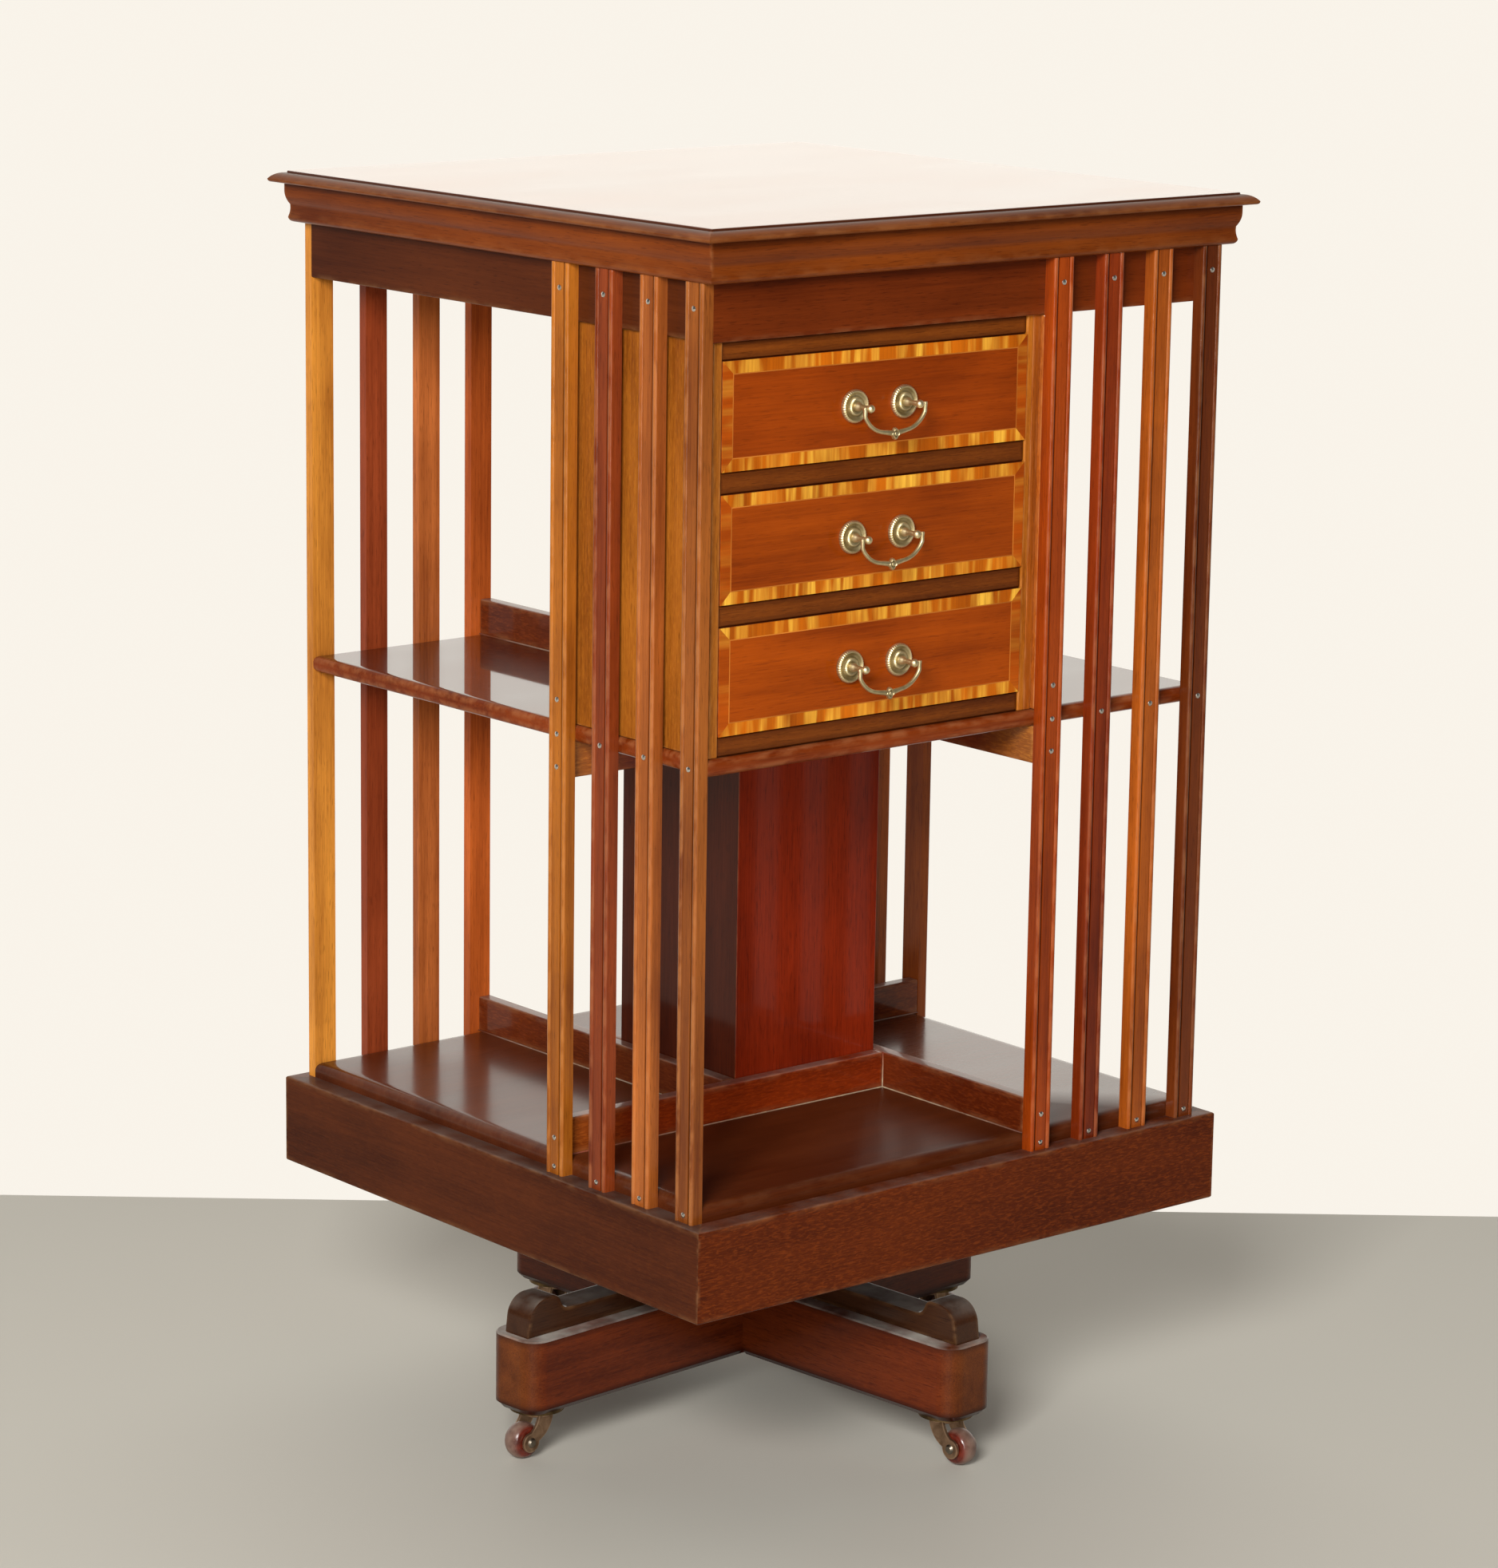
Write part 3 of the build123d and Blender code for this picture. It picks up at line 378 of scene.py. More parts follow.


# Dust 0.9: dust on the ledges, heavy and pale so that it also stands in for their sheen (painted
# reflection).
base_wood = wood_material(
    "base mahogany", ribbon=1.2, pores=0.5, coat=0.4, coat_roughness=0.18, dust=0.9, fibre=0.7, fleck=0.12
)
for name, lap_drops_top, angle, seed in (
    ("base_beam_left_right", True, BASE_TURN, 1), ("base_beam_front_back", False, BASE_TURN + 90.0, 0)
):
    shape, rub = beam_shape(lap_drops_top)
    beam = wood_part(shape, 0, BEAM_TONE, seed, rub)
    near_end = np.clip((np.abs(shape[0][:, :1]) - BEAM_HALF_LENGTH) / BEAM_END_FADE + 1.0, 0.0, 1.0)
    beam["tone"] += near_end * (stain(BEAM_END_TONE) - stain(BEAM_TONE))
    make_piece(f"{name}_wood", [turn(beam, angle)], base_wood, "base", [name])

# Humped rails: one on each arm of the cross, sawn to a scroll at the outer end and planted on
# with glue and screws. They steady the case, and their rough tops are grey with dust.
CHOCK_HALF_WIDTH = 12.0
CHOCK_EASE = 1.2
CHOCK_OUTLINE = [(46.0, 89.0), (218.0, 89.0), (215.0, 115.0), (190.0, 115.0), (185.0, 104.0), (46.0, 104.0)]
CHOCK_RADII = [0.0, 0.0, 16.0, 6.0, 8.0, 0.0]
CHOCK_TONE = (61, 34, 18)


def unit(vectors):
    """Each vector with its length brought to 1."""
    return vectors / np.linalg.norm(vectors, axis=-1, keepdims=True)


def rounded(corners, radii, steps):
    """Outline with each corner rounded: arc points run between the two places where a circle of
    that radius touches the sides; a corner of radius 0 stays sharp."""
    corners = np.asarray(corners, dtype=float)
    points = []
    for before, corner, after, radius in zip(
        np.roll(corners, 1, axis=0), corners, np.roll(corners, -1, axis=0), radii
    ):
        if radius == 0:
            points.append(corner[None])
            continue
        back = unit(before - corner)
        ahead = unit(after - corner)
        half_angle = math.acos(np.clip(back @ ahead, -1.0, 1.0)) / 2
        bisector = unit(back + ahead)
        centre = corner + bisector * radius / math.sin(half_angle)
        start = corner + back * radius / math.tan(half_angle) - centre
        end = corner + ahead * radius / math.tan(half_angle) - centre
        swing = math.pi - 2 * half_angle
        part = np.linspace(0.0, 1.0, steps + 1)[:, None] * swing
        points.append(centre + (np.sin(swing - part) * start + np.sin(part) * end) / math.sin(swing))
    return np.concatenate(points)


def inset(outline, distance):
    """Outline drawn inwards: each point moves along the inner normal of its two sides."""
    ahead = unit(np.roll(outline, -1, axis=0) - outline)
    normal = np.stack([-ahead[:, 1], ahead[:, 0]], axis=1)
    shoelace = outline[:, 0] * np.roll(outline[:, 1], -1) - outline[:, 1] * np.roll(outline[:, 0], -1)
    normal = normal * np.sign(shoelace.sum())
    before = np.roll(normal, 1, axis=0)
    spread = 1.0 + (normal * before).sum(axis=1, keepdims=True)
    return outline + (normal + before) / spread * distance


def plate(outline, low, high, ease, upright=1, between=()):
    """Flat piece: an outline carried from low to high along one axis, its two rims eased by a
    small round, with more rings at places between. Gives the shape, and wear that is 1 on the rims."""
    steps = [(2.5, 0.0, 0.0), (1.0, 0.0, 0.6), (0.3, 0.3, 1.0), (0.0, 1.0, 0.6), (0.0, 2.5, 0.0)]
    stations = [(low + up * ease, inner * ease, rub) for inner, up, rub in steps]
    stations += [(place, 0.0, 0.0) for place in between]
    stations += [(high - up * ease, inner * ease, rub) for inner, up, rub in reversed(steps)]
    rings = [np.insert(inset(outline, inner), upright, place, axis=1) for place, inner, rub in stations]
    rub = np.repeat([rub for place, inner, rub in stations], len(outline))
    return loft(rings), rub


chock_wood = wood_material(
    "humped rail mahogany", ribbon=0.9, pores=0.6, coat=0.5, coat_roughness=0.14, dust=0.3, fibre=0.6
)
chock_outline = rounded(CHOCK_OUTLINE, CHOCK_RADII, 12)
for seed, (arm, angle) in enumerate(ARM_ANGLES.items(), start=10):
    shape, rub = plate(chock_outline, -CHOCK_HALF_WIDTH, CHOCK_HALF_WIDTH, CHOCK_EASE)
    chock = turn(wood_part(shape, 0, CHOCK_TONE, seed, rub * 0.7), angle + BASE_TURN)
    make_piece(f"chock_{arm}_wood", [chock], chock_wood, "base", [f"chock_{arm}"])

# Castors: cast brass forks with two horned cheeks on a swivelling crown, gone dull and olive,
# and a fat brown ceramic wheel on a riveted steel axle. The tread is pale with floor dust, and the
# pale also stands in for the glaze's sheen round the rim (painted sheen).
SWIVEL_REACH = 199.0
TRAIL = 13.5
WHEEL_RADIUS = 12.75
WHEEL_HALF_WIDTH = 7.0
WHEEL_SIDE_RADIUS = 8.5
WHEEL_BORE_RADIUS = 2.33
CHEEK_INNER = 7.5
CHEEK_OUTER = 10.1
CHEEK_HALF_WIDTH = 6.5
EYE_RADIUS = 7.0
CROWN_TOP = 32.7
CROWN_BOTTOM = 28.7
CROWN_RADIUS = 11.0
PINTLE_RADIUS = 4.5
PINTLE_TOP = 59.5
CHEEK_EASE = 0.5
WHEEL_SEGMENTS = 48
GLAZE_DARK = (72, 22, 14)
GLAZE_LIGHT = (106, 38, 25)
SCUFF_AND_SHEEN_TONE = (136, 118, 104)


def full_turn(count):
    """Angles of so many equal steps round a full turn."""
    return np.arange(count) * 2 * math.pi / count


def lathe(profile, segments=40, closed=False):
    """Turned skin about the upright axis from (radius, height) points."""
    angle = full_turn(segments)
    profile = np.asarray(profile, dtype=float)
    radius, height = profile[:, :1], profile[:, 1:]
    rings = np.stack([radius * np.cos(angle), radius * np.sin(angle), height + 0 * angle], axis=-1)
    return loft(rings, closed)


def plain_part(shape, wear):
    """A part of metal or ceramic in millimetres, with wear as the place on its profile."""
    points, faces = shape
    wear = np.broadcast_to(np.asarray(wear, dtype=float).ravel(), len(points))
    return {"points": points, "faces": faces, "wear": wear}


def tip(part):
    """The same part with its upright axis laid along Y."""
    return {**part, "points": part["points"][:, [0, 2, 1]]}


def arc(centre, radius, start, end, steps=10):
    """Points of a circle's arc, by start and end angle in degrees."""
    angle = np.radians(np.linspace(start, end, steps + 1))
    return np.stack([centre[0] + radius * np.cos(angle), centre[1] + radius * np.sin(angle)], axis=1)


def make_metal_patina():
    """Old metal: clouds of tarnish, fine speckle, and dark grime where wear is low."""
    group, given, result = new_group(
        "metal patina",
        {"Place": "NodeSocketVector", "Metal": "NodeSocketColor", "Tarnish": "NodeSocketColor",
         "Wear": "NodeSocketFloat", "Smooth": "NodeSocketFloat"},
        {"Color": "NodeSocketColor", "Roughness": "NodeSocketFloat", "Height": "NodeSocketFloat"},
    )
    cloud = noise(group, given["Place"], (130.0, 130.0, 130.0), 4.0, 0.4)
    speckle = noise(group, given["Place"], (1400.0, 1400.0, 1400.0), 2.0)
    bare = calculate(group, "ADD", rescale(group, cloud, 0.35, 0.70, -0.25, 0.35), given["Wear"])
    bare = rescale(group, bare, 0.0, 1.0)
    colour = blend(group, bare, given["Tarnish"], given["Metal"])
    colour = blend(group, rescale(group, speckle, 0.60, 0.75, 0.0, 0.35), colour, given["Tarnish"])
    roughness = rescale(group, bare, 0.0, 1.0, 0.58, given["Smooth"])
    height = calculate(group, "ADD", cloud, calculate(group, "MULTIPLY", speckle, 0.3))
    group.links.new(colour, result["Color"])
    group.links.new(roughness, result["Roughness"])
    group.links.new(height, result["Height"])
    return group


METAL_PATINA = make_metal_patina()


def metal_material(name, metal, tarnish, wear=None, smooth=0.27):
    """Old metal. The wear is a number for a whole CAD node, or else the part's own attribute;
    smooth is the roughness of the clean metal."""
    material, tree, shader = new_material(name)
    if wear is None:
        wear = part_field(tree, "wear")["Fac"]
    given = {
        "Place": object_place(tree), "Metal": stain(metal), "Tarnish": stain(tarnish), "Wear": wear,
        "Smooth": smooth,
    }
    patina = add_node(tree, "ShaderNodeGroup", given, node_tree=METAL_PATINA).outputs
    link_surface(tree, shader, patina["Color"], patina["Roughness"], patina["Height"], 0.2)
    shader.inputs["Metallic"].default_value = 1.0
    return material


def ceramic_material():
    """Brown glazed stoneware: mottled, glossy on the sides, pale on the tread: scuffs and painted sheen."""
    material, tree, shader = new_material("wheel ceramic")
    dark, light, pale = (stain(tone) for tone in (GLAZE_DARK, GLAZE_LIGHT, SCUFF_AND_SHEEN_TONE))
    wear = part_field(tree, "wear")["Fac"]
    cloud = noise(tree, object_place(tree), (160.0, 160.0, 160.0), 4.0)
    glaze = blend(tree, rescale(tree, cloud, 0.35, 0.65), dark, light)
    scuff_and_sheen = calculate(tree, "MULTIPLY", wear, rescale(tree, cloud, 0.30, 0.7, 0.3, 0.85))
    roughness = rescale(tree, scuff_and_sheen, 0.0, 1.0, 0.16, 0.6)
    link_surface(tree, shader, blend(tree, scuff_and_sheen, glaze, pale), roughness, cloud, 0.15, depth=0.0003)
    return material


castor_brass = metal_material("castor brass", (204, 168, 136), (122, 96, 74), smooth=0.36)
plate_brass = metal_material("castor plate brass", (150, 122, 84), (70, 56, 34), wear=0.3)
axle_steel = metal_material("axle steel", (150, 140, 124), (70, 60, 50), wear=0.5)
wheel_glaze = ceramic_material()
back_run = TRAIL - EYE_RADIUS + CHEEK_HALF_WIDTH
back_radius = back_run / 2 + (CROWN_TOP - WHEEL_RADIUS) ** 2 / (2 * back_run)
brow = WHEEL_RADIUS + EYE_RADIUS
front_run = TRAIL - CHEEK_HALF_WIDTH
front_radius = front_run / 2 + (CROWN_TOP - brow) ** 2 / (2 * front_run)
back_centre = (-CHEEK_HALF_WIDTH + back_radius, CROWN_TOP)
front_centre = (CHEEK_HALF_WIDTH + front_radius, CROWN_TOP)
back_end = 180 + math.degrees(math.asin((CROWN_TOP - WHEEL_RADIUS) / back_radius))
front_end = 180 + math.degrees(math.asin((CROWN_TOP - brow) / front_radius))
cheek_outline = np.concatenate([
    arc(back_centre, back_radius, 180, back_end),
    arc((TRAIL, WHEEL_RADIUS), EYE_RADIUS, 180, 450, 24)[1:],
    arc(front_centre, front_radius, front_end, 180)[1:],
])
crown_profile = [
    (CROWN_RADIUS - 1.2, CROWN_BOTTOM), (CROWN_RADIUS - 0.3, CROWN_BOTTOM + 0.5),
    (CROWN_RADIUS, CROWN_BOTTOM + 1.4), (CROWN_RADIUS, CROWN_TOP - 1.0),
    (CROWN_RADIUS - 0.4, CROWN_TOP - 0.2), (CROWN_RADIUS - 1.0, CROWN_TOP),
    (PINTLE_RADIUS, CROWN_TOP), (PINTLE_RADIUS, PINTLE_TOP),
]
bulge = np.linspace(-90.0, 90.0, 17)
rim = np.stack([
    WHEEL_SIDE_RADIUS + (WHEEL_RADIUS - WHEEL_SIDE_RADIUS) * np.cos(np.radians(bulge)),
    WHEEL_HALF_WIDTH * np.sin(np.radians(bulge)),
], axis=1)
wheel_profile = np.concatenate([
    [(WHEEL_BORE_RADIUS, -WHEEL_HALF_WIDTH)], rim, [(WHEEL_BORE_RADIUS, WHEEL_HALF_WIDTH)]
])
# Tread: scuff and painted sheen, strongest at the crown of the rim.
tread = np.concatenate([[0.0], np.clip(np.cos(np.radians(bulge)) * 1.6 - 0.6, 0.0, 1.0), [0.0]])
for arm, angle in ARM_ANGLES.items():
    cheeks = []
    for low, high in ((-CHEEK_OUTER, -CHEEK_INNER), (CHEEK_INNER, CHEEK_OUTER)):
        shape, rub = plate(cheek_outline, low, high, CHEEK_EASE)
        cheeks.append(plain_part(shape, 0.25 + 0.5 * rub))
    crown = plain_part(lathe(crown_profile), 0.6)
    wheel_shape = lathe(wheel_profile, WHEEL_SEGMENTS, closed=True)
    wheel = tip(plain_part(wheel_shape, np.repeat(tread, WHEEL_SEGMENTS)))
    wheel = turn(move(wheel, SWIVEL_REACH + TRAIL, 0.0, WHEEL_RADIUS), angle + BASE_TURN)
    fork = [turn(move(part, SWIVEL_REACH, 0.0, 0.0), angle + BASE_TURN) for part in cheeks + [crown]]
    make_piece(
        f"castor_fork_{arm}_brass", fork, castor_brass, f"castor_{arm}",
        [f"castor_fork_{arm}"],
    )
    make_piece(
        f"castor_wheel_{arm}_ceramic", [wheel], wheel_glaze, f"wheel_{arm}",
        [f"castor_wheel_{arm}"],
    )

# Castor plates and axles: a round brass plate with its socket, let into the end of each arm, and
# a steel rivet through each wheel. They are plain turned metal, so the CAD solids stay.


def dress(node, material):
    """A CAD node stays as it is and takes a material."""
    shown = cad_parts[node]
    shown.data.materials.clear()
    shown.data.materials.append(material)


dress("castor_plates", plate_brass)
for arm in ARM_ANGLES:
    dress(f"castor_axle_{arm}", axle_steel)

# Post and bearings: the case turns on a turned beech post, hidden in the column. A steel pin in its
# top runs in an iron cup, and an iron collar in the bottom board steadies the case round it.


def hidden_wood_material(name, tone, along):
    """Unpolished wood on a CAD node, its figure drawn out along one axis of the object."""
    material, tree, shader = new_material(name)
    axes = add_node(tree, "ShaderNodeSeparateXYZ", {0: object_place(tree)}).outputs
    order = [along] + [axis for axis in range(3) if axis != along]
    places = {number: axes[axis] for number, axis in enumerate(order)}
    grain = add_node(tree, "ShaderNodeCombineXYZ", places).outputs[0]
    figure = wood_figure(tree, grain, stain(tone), wear=0.0, ribbon=0.5, fibre=0.9, fleck=0.0, pores=0.4)
    rough = calculate(tree, "ADD", figure["Roughness"], 0.2)
    link_surface(tree, shader, figure["Color"], rough, figure["Height"], 0.3)
    return material


post_wood = hidden_wood_material("post beech", (150, 96, 56), along=2)
bearing_iron = metal_material("bearing iron", (96, 90, 84), (52, 42, 34), wear=0.3)
pivot_steel = metal_material("pivot steel", (170, 168, 164), (90, 80, 70), wear=0.7)
dress("spindle_post", post_wood)
dress("pivot_pin", pivot_steel)
dress("pivot_cup", bearing_iron)
dress("bearing_collar", bearing_iron)

# Bottom board and aprons: a wide polished board with a rounded nose, dulled by books in the front
# bay, let into four deep mitred aprons of darker, fleckier mahogany. The lower arris of each apron is
# knocked and rubbed pale.
FACES = {"front": 0.0, "right": 90.0, "back": 180.0, "left": 270.0}
BOARD_HALF = 218.5
BOARD_BOTTOM = 215.0
BOARD_TOP = 230.0
BOARD_NOSE = 6.0
COLLAR_HOLE_HALF = 29.1
APRON_HALF = 233.5
APRON_INNER = 211.5
APRON_BOTTOM = 156.5
APRON_TOP = 218.8
APRON_ARRIS = 1.5
CORNER_RUB_LENGTH = 2.5
RUN_STATIONS = 9
ARC_RUB = [0.6, 1.0, 1.0, 1.0, 0.6]
BOARD_TONE = (82, 36, 15)
BOARD_STEPS = 8
BOARD_POLISH = {"front": 0.08, "right": 1.0, "back": 0.8, "left": 0.65}
APRON_TONES = {"front": (84, 31, 6), "right": (70, 29, 8), "back": (86, 33, 8), "left": (72, 30, 9)}


def rectangle(left, right, low, high):
    """Corners of a rectangle, from the lower left anticlockwise."""
    return [(left, low), (right, low), (right, high), (left, high)]


def square_board(profile, along, tone, seed, wear, closed, steps=1):
    """Square board: each (half width, height) of the profile of its edge is one square ring, with
    so many steps to a side, from the front left corner anticlockwise."""
    profile = np.asarray(profile, dtype=float)
    corners = np.array(rectangle(-1, 1, -1, 1))
    share = np.arange(steps)[:, None] / steps
    square = np.concatenate([
        corner + (after - corner) * share for corner, after in zip(corners, np.roll(corners, -1, axis=0))
    ])
    plan = profile[:, None, :1] * square[None]
    height = np.broadcast_to(profile[:, None, 1:], (len(profile), len(square), 1))
    shape = loft(np.concatenate([plan, height], axis=2), closed)
    return wood_part(shape, along, tone, seed, np.repeat(wear, len(square)))


def mitred_run(profile, tone, seed, wear, corner_wear_and_glint):
    """Front member of a square frame: a profile of (distance out, height) points carried along X,
    each point ending on the mitre where X equals its own distance out. The mitred corners are paler
    over the last millimetres: hands rub them, and the pale also stands in for the glint on the arris
    (painted highlight)."""
    profile = np.asarray(profile, dtype=float)
    out, height = profile.T
    near_corner = 1.0 - CORNER_RUB_LENGTH / out.max()
    stations = np.concatenate([[-1.0], np.linspace(-near_corner, near_corner, RUN_STATIONS), [1.0]])
    stations = stations[:, None]
    rings = np.stack([stations * out, -out + 0 * stations, height + 0 * stations], axis=-1)
    rubbed = np.where(np.abs(stations) == 1.0, np.maximum(wear, corner_wear_and_glint), wear)
    return wood_part(loft(rings), 0, tone, seed, rubbed)


def mitred_frame(profile, tones, first_seed, wear, corner_wear_and_glint=0.0):
    """The four members of a square frame, one to a face, each with its own tone and grain."""
    return [
        turn(mitred_run(profile, tones[face], seed, wear, corner_wear_and_glint), angle)
        for seed, (face, angle) in enumerate(FACES.items(), start=first_seed)
    ]


def edged(corners, radii, margin=3.0):
    """Rounded outline with extra points a margin away from each arc, and wear that is 1 on arcs."""
    corners = np.asarray(corners, dtype=float)
    points = []
    rub = []
    around = zip(np.roll(corners, 1, axis=0), corners, np.roll(corners, -1, axis=0), radii)
    for index, (before, corner, after, radius) in enumerate(around):
        if radius == 0:
            points.append(corner[None])
            rub.append([0.0])
            continue
        only_this = [radius if other == index else 0.0 for other in range(len(corners))]
        bend = rounded(corners, only_this, len(ARC_RUB) - 1)[index:index + len(ARC_RUB)]
        back = unit(before - corner)
        ahead = unit(after - corner)
        points += [bend[:1] + back * margin, bend, bend[-1:] + ahead * margin]
        rub += [[0.0], ARC_RUB, [0.0]]
    return np.concatenate(points), np.concatenate(rub)


board_wood = wood_material(
    "bottom board mahogany", ribbon=0.5, pores=0.3, coat=1.0, coat_roughness=0.17, fibre=0.5,
    uneven_polish=True,
)
flecked_wood = wood_material(
    "flecked apron mahogany", ribbon=0.5, pores=0.3, coat=0.15, coat_roughness=0.14, dust=0.12, fibre=0.6,
    fleck=0.5,
)
plain_wood = wood_material(
    "plain apron mahogany", ribbon=0.7, pores=0.3, coat=0.15, coat_roughness=0.14, dust=0.12, fibre=0.8,
    fleck=0.14,
)
board_corners = rectangle(COLLAR_HOLE_HALF, BOARD_HALF, BOARD_BOTTOM, BOARD_TOP)
profile, rub = edged(board_corners, [0.0, 0.0, BOARD_NOSE, 0.0])
bottom_board = square_board(profile, 0, BOARD_TONE, 20, rub * 0.15, closed=True, steps=BOARD_STEPS)
bottom_board["tone"][:, 3] = np.tile(np.repeat(list(BOARD_POLISH.values()), BOARD_STEPS), len(profile))
make_piece("bottom_board_wood", [bottom_board], board_wood, "case", ["bottom_board"])
apron_corners = [
    (APRON_INNER, APRON_BOTTOM), (APRON_HALF, APRON_BOTTOM), (APRON_HALF, APRON_TOP),
    (BOARD_HALF, APRON_TOP), (BOARD_HALF, BOARD_BOTTOM), (APRON_INNER, BOARD_BOTTOM),
]
profile, rub = edged(apron_corners, [0.0, APRON_ARRIS, APRON_ARRIS, 0.0, 0.0, 0.0])
aprons = mitred_frame(profile, APRON_TONES, 30, rub * 0.7, corner_wear_and_glint=1.0)
for face, apron in zip(FACES, aprons):
    apron_wood = flecked_wood if face in ("front", "back") else plain_wood
    make_piece(f"apron_{face}_wood", [apron], apron_wood, "case", [f"apron_{face}"])

# Column and book stops: four mitred boards of deep red ribbon mahogany round the post, and rails
# pinned to it and to the boards, which keep books from sliding through. Hands rubbed the ends golden.
# Beside the drawers the upper stop is carried up to the frieze, as a wall.
COLUMN_HALF = 63.5
COLUMN_INNER = 42.5
COLUMN_EASE = 0.9
COLUMN_TONES = {"front": (134, 38, 12), "right": (104, 33, 12), "back": (92, 32, 12), "left": (80, 30, 14)}
TOP_UNDERSIDE = 848.5
STOP_FRONT = 73.5
STOP_HEIGHT = 25.5
STOP_EASE = 1.3
STOP_TONES = {"front": (122, 40, 9), "right": (92, 34, 11), "back": (110, 46, 14), "left": (92, 36, 12)}
STOP_END_TONES = {"lower_stops": (134, 66, 22), "hanging_stops": (150, 86, 30)}
STOP_WORN_LENGTH = 55.0
WAX_TONE = (168, 146, 126)
WAX_WIDTH = 0.6
DRAWER_WALL_TONE = (146, 72, 20)
SHELF_BOTTOM = 513.5
SHELF_TOP = 525.0
FRIEZE_BOTTOM = 790.4


def board(x, y, z, ease, along, tone, seed, rub_amount=1.0, between=()):
    """Straight board between (low, high) pairs: an eased rectangle carried along the grain, its
    ends eased too, with wear on every edge and more rings at places between the ends."""
    spans = [x, y, z]
    across = [axis for axis in range(3) if axis != along]
    (left, right), (low, high) = (spans[axis] for axis in across)
    corners = rectangle(left, right, low, high)
    margin = min(3.0 * ease, (right - left) / 2 - 1.2 * ease, (high - low) / 2 - 1.2 * ease)
    outline, side_rub = edged(corners, [ease] * 4, margin)
    shape, end_rub = plate(outline, *spans[along], min(ease, margin / 1.6), along, between)
    rub = np.maximum(end_rub, np.tile(side_rub, len(end_rub) // len(side_rub)))
    return wood_part(shape, along, tone, seed, rub * rub_amount)


def wax_line(start, end, first, second, tone, seed):
    """Line of old wax and dust in an inner corner: a three-cornered bead carried from start to end,
    with one point in the corner and one a wax width along each of the two faces. It is as dark as
    the wood at its start and pale at its end."""
    section = np.array([(0.0, 0.0, 0.0), first, second]) * WAX_WIDTH
    shape = loft([section + start, section + end])
    along = int(np.argmax(np.abs(np.subtract(end, start))))
    line = wood_part(shape, along, WAX_TONE, seed)
    line["tone"][:len(section)] = stain(tone)
    return line


column_wood = wood_material(
    "column mahogany", ribbon=0.25, pores=0.5, coat=0.5, coat_roughness=0.08, fibre=0.8
)
stop_wood = wood_material(
    "book stop mahogany", ribbon=0.9, pores=0.3, coat=0.7, coat_roughness=0.1, dust=0.25, fibre=0.6,
    fleck=0.3,
)
soft = COLUMN_HALF - 0.3 * COLUMN_EASE
column_plan = np.array([
    (-COLUMN_HALF + COLUMN_EASE, -COLUMN_HALF), (COLUMN_HALF - COLUMN_EASE, -COLUMN_HALF), (soft, -soft),
    (COLUMN_INNER, -COLUMN_INNER), (-COLUMN_INNER, -COLUMN_INNER), (-soft, -soft),
])
column_rub = np.tile([0.0, 0.0, 1.0, 0.0, 0.0, 1.0], 2)
column_parts = []
for seed, (face, angle) in enumerate(FACES.items(), start=40):
    rings = [np.insert(column_plan, 2, height, axis=1) for height in (BOARD_TOP, TOP_UNDERSIDE)]
    column_board = wood_part(loft(rings), 2, COLUMN_TONES[face], seed, column_rub)
    column_parts.append(turn(column_board, angle))
make_piece("column_wood", column_parts, column_wood, "case", ["column"])
stop_x = (-BOARD_HALF, COLUMN_HALF)
stop_y = (-STOP_FRONT, -COLUMN_HALF)
worn = (STOP_WORN_LENGTH - BOARD_HALF,)
for node, low, faces in (
    ("lower_stops", BOARD_TOP, ("front", "right", "back", "left")),
    ("hanging_stops", SHELF_BOTTOM - STOP_HEIGHT, ("front", "right", "back", "left")),
    ("upper_stops", SHELF_TOP, ("back", "left")),
):
    stops = []
    for number, face in enumerate(faces):
        stop_z = (low, low + STOP_HEIGHT)
        tone = STOP_TONES[face]
        rail = board(stop_x, stop_y, stop_z, STOP_EASE, 0, tone, 50 + int(low) + number, between=worn)
        if face == "front" or (node, face) == ("hanging_stops", "right"):
            to_end = (rail["points"][:, :1] + BOARD_HALF) / STOP_WORN_LENGTH
            rail["tone"] += np.clip(1.0 - to_end, 0.0, 1.0) * (stain(STOP_END_TONES[node]) - stain(tone))
        corner = (COLUMN_HALF, -STOP_FRONT, low)
        behind = (-STOP_FRONT, -COLUMN_HALF, low)
        corner_top = (COLUMN_HALF, -STOP_FRONT, low + STOP_HEIGHT)
        lines = [
            wax_line((-BOARD_HALF, -STOP_FRONT, low), corner, (0, -1, 0), (0, 0, 1), tone, number),
            wax_line((-BOARD_HALF, -COLUMN_HALF, low), behind, (0, 1, 0), (0, 0, 1), tone, number),
            wax_line(corner_top, corner, (-1, 0, 0), (0, -1, 0), tone, number),
        ]
        shown = [rail] if node == "hanging_stops" else [rail] + lines
        stops += [turn(part, FACES[face]) for part in shown]
    if node == "upper_stops":
        wall_z = (SHELF_TOP, FRIEZE_BOTTOM)
        wall = board(stop_x, stop_y, wall_z, STOP_EASE, 2, DRAWER_WALL_TONE, 60)
        stops.append(turn(wall, FACES["right"]))
    make_piece(f"{node}_wood", stops, stop_wood, "case", [node])

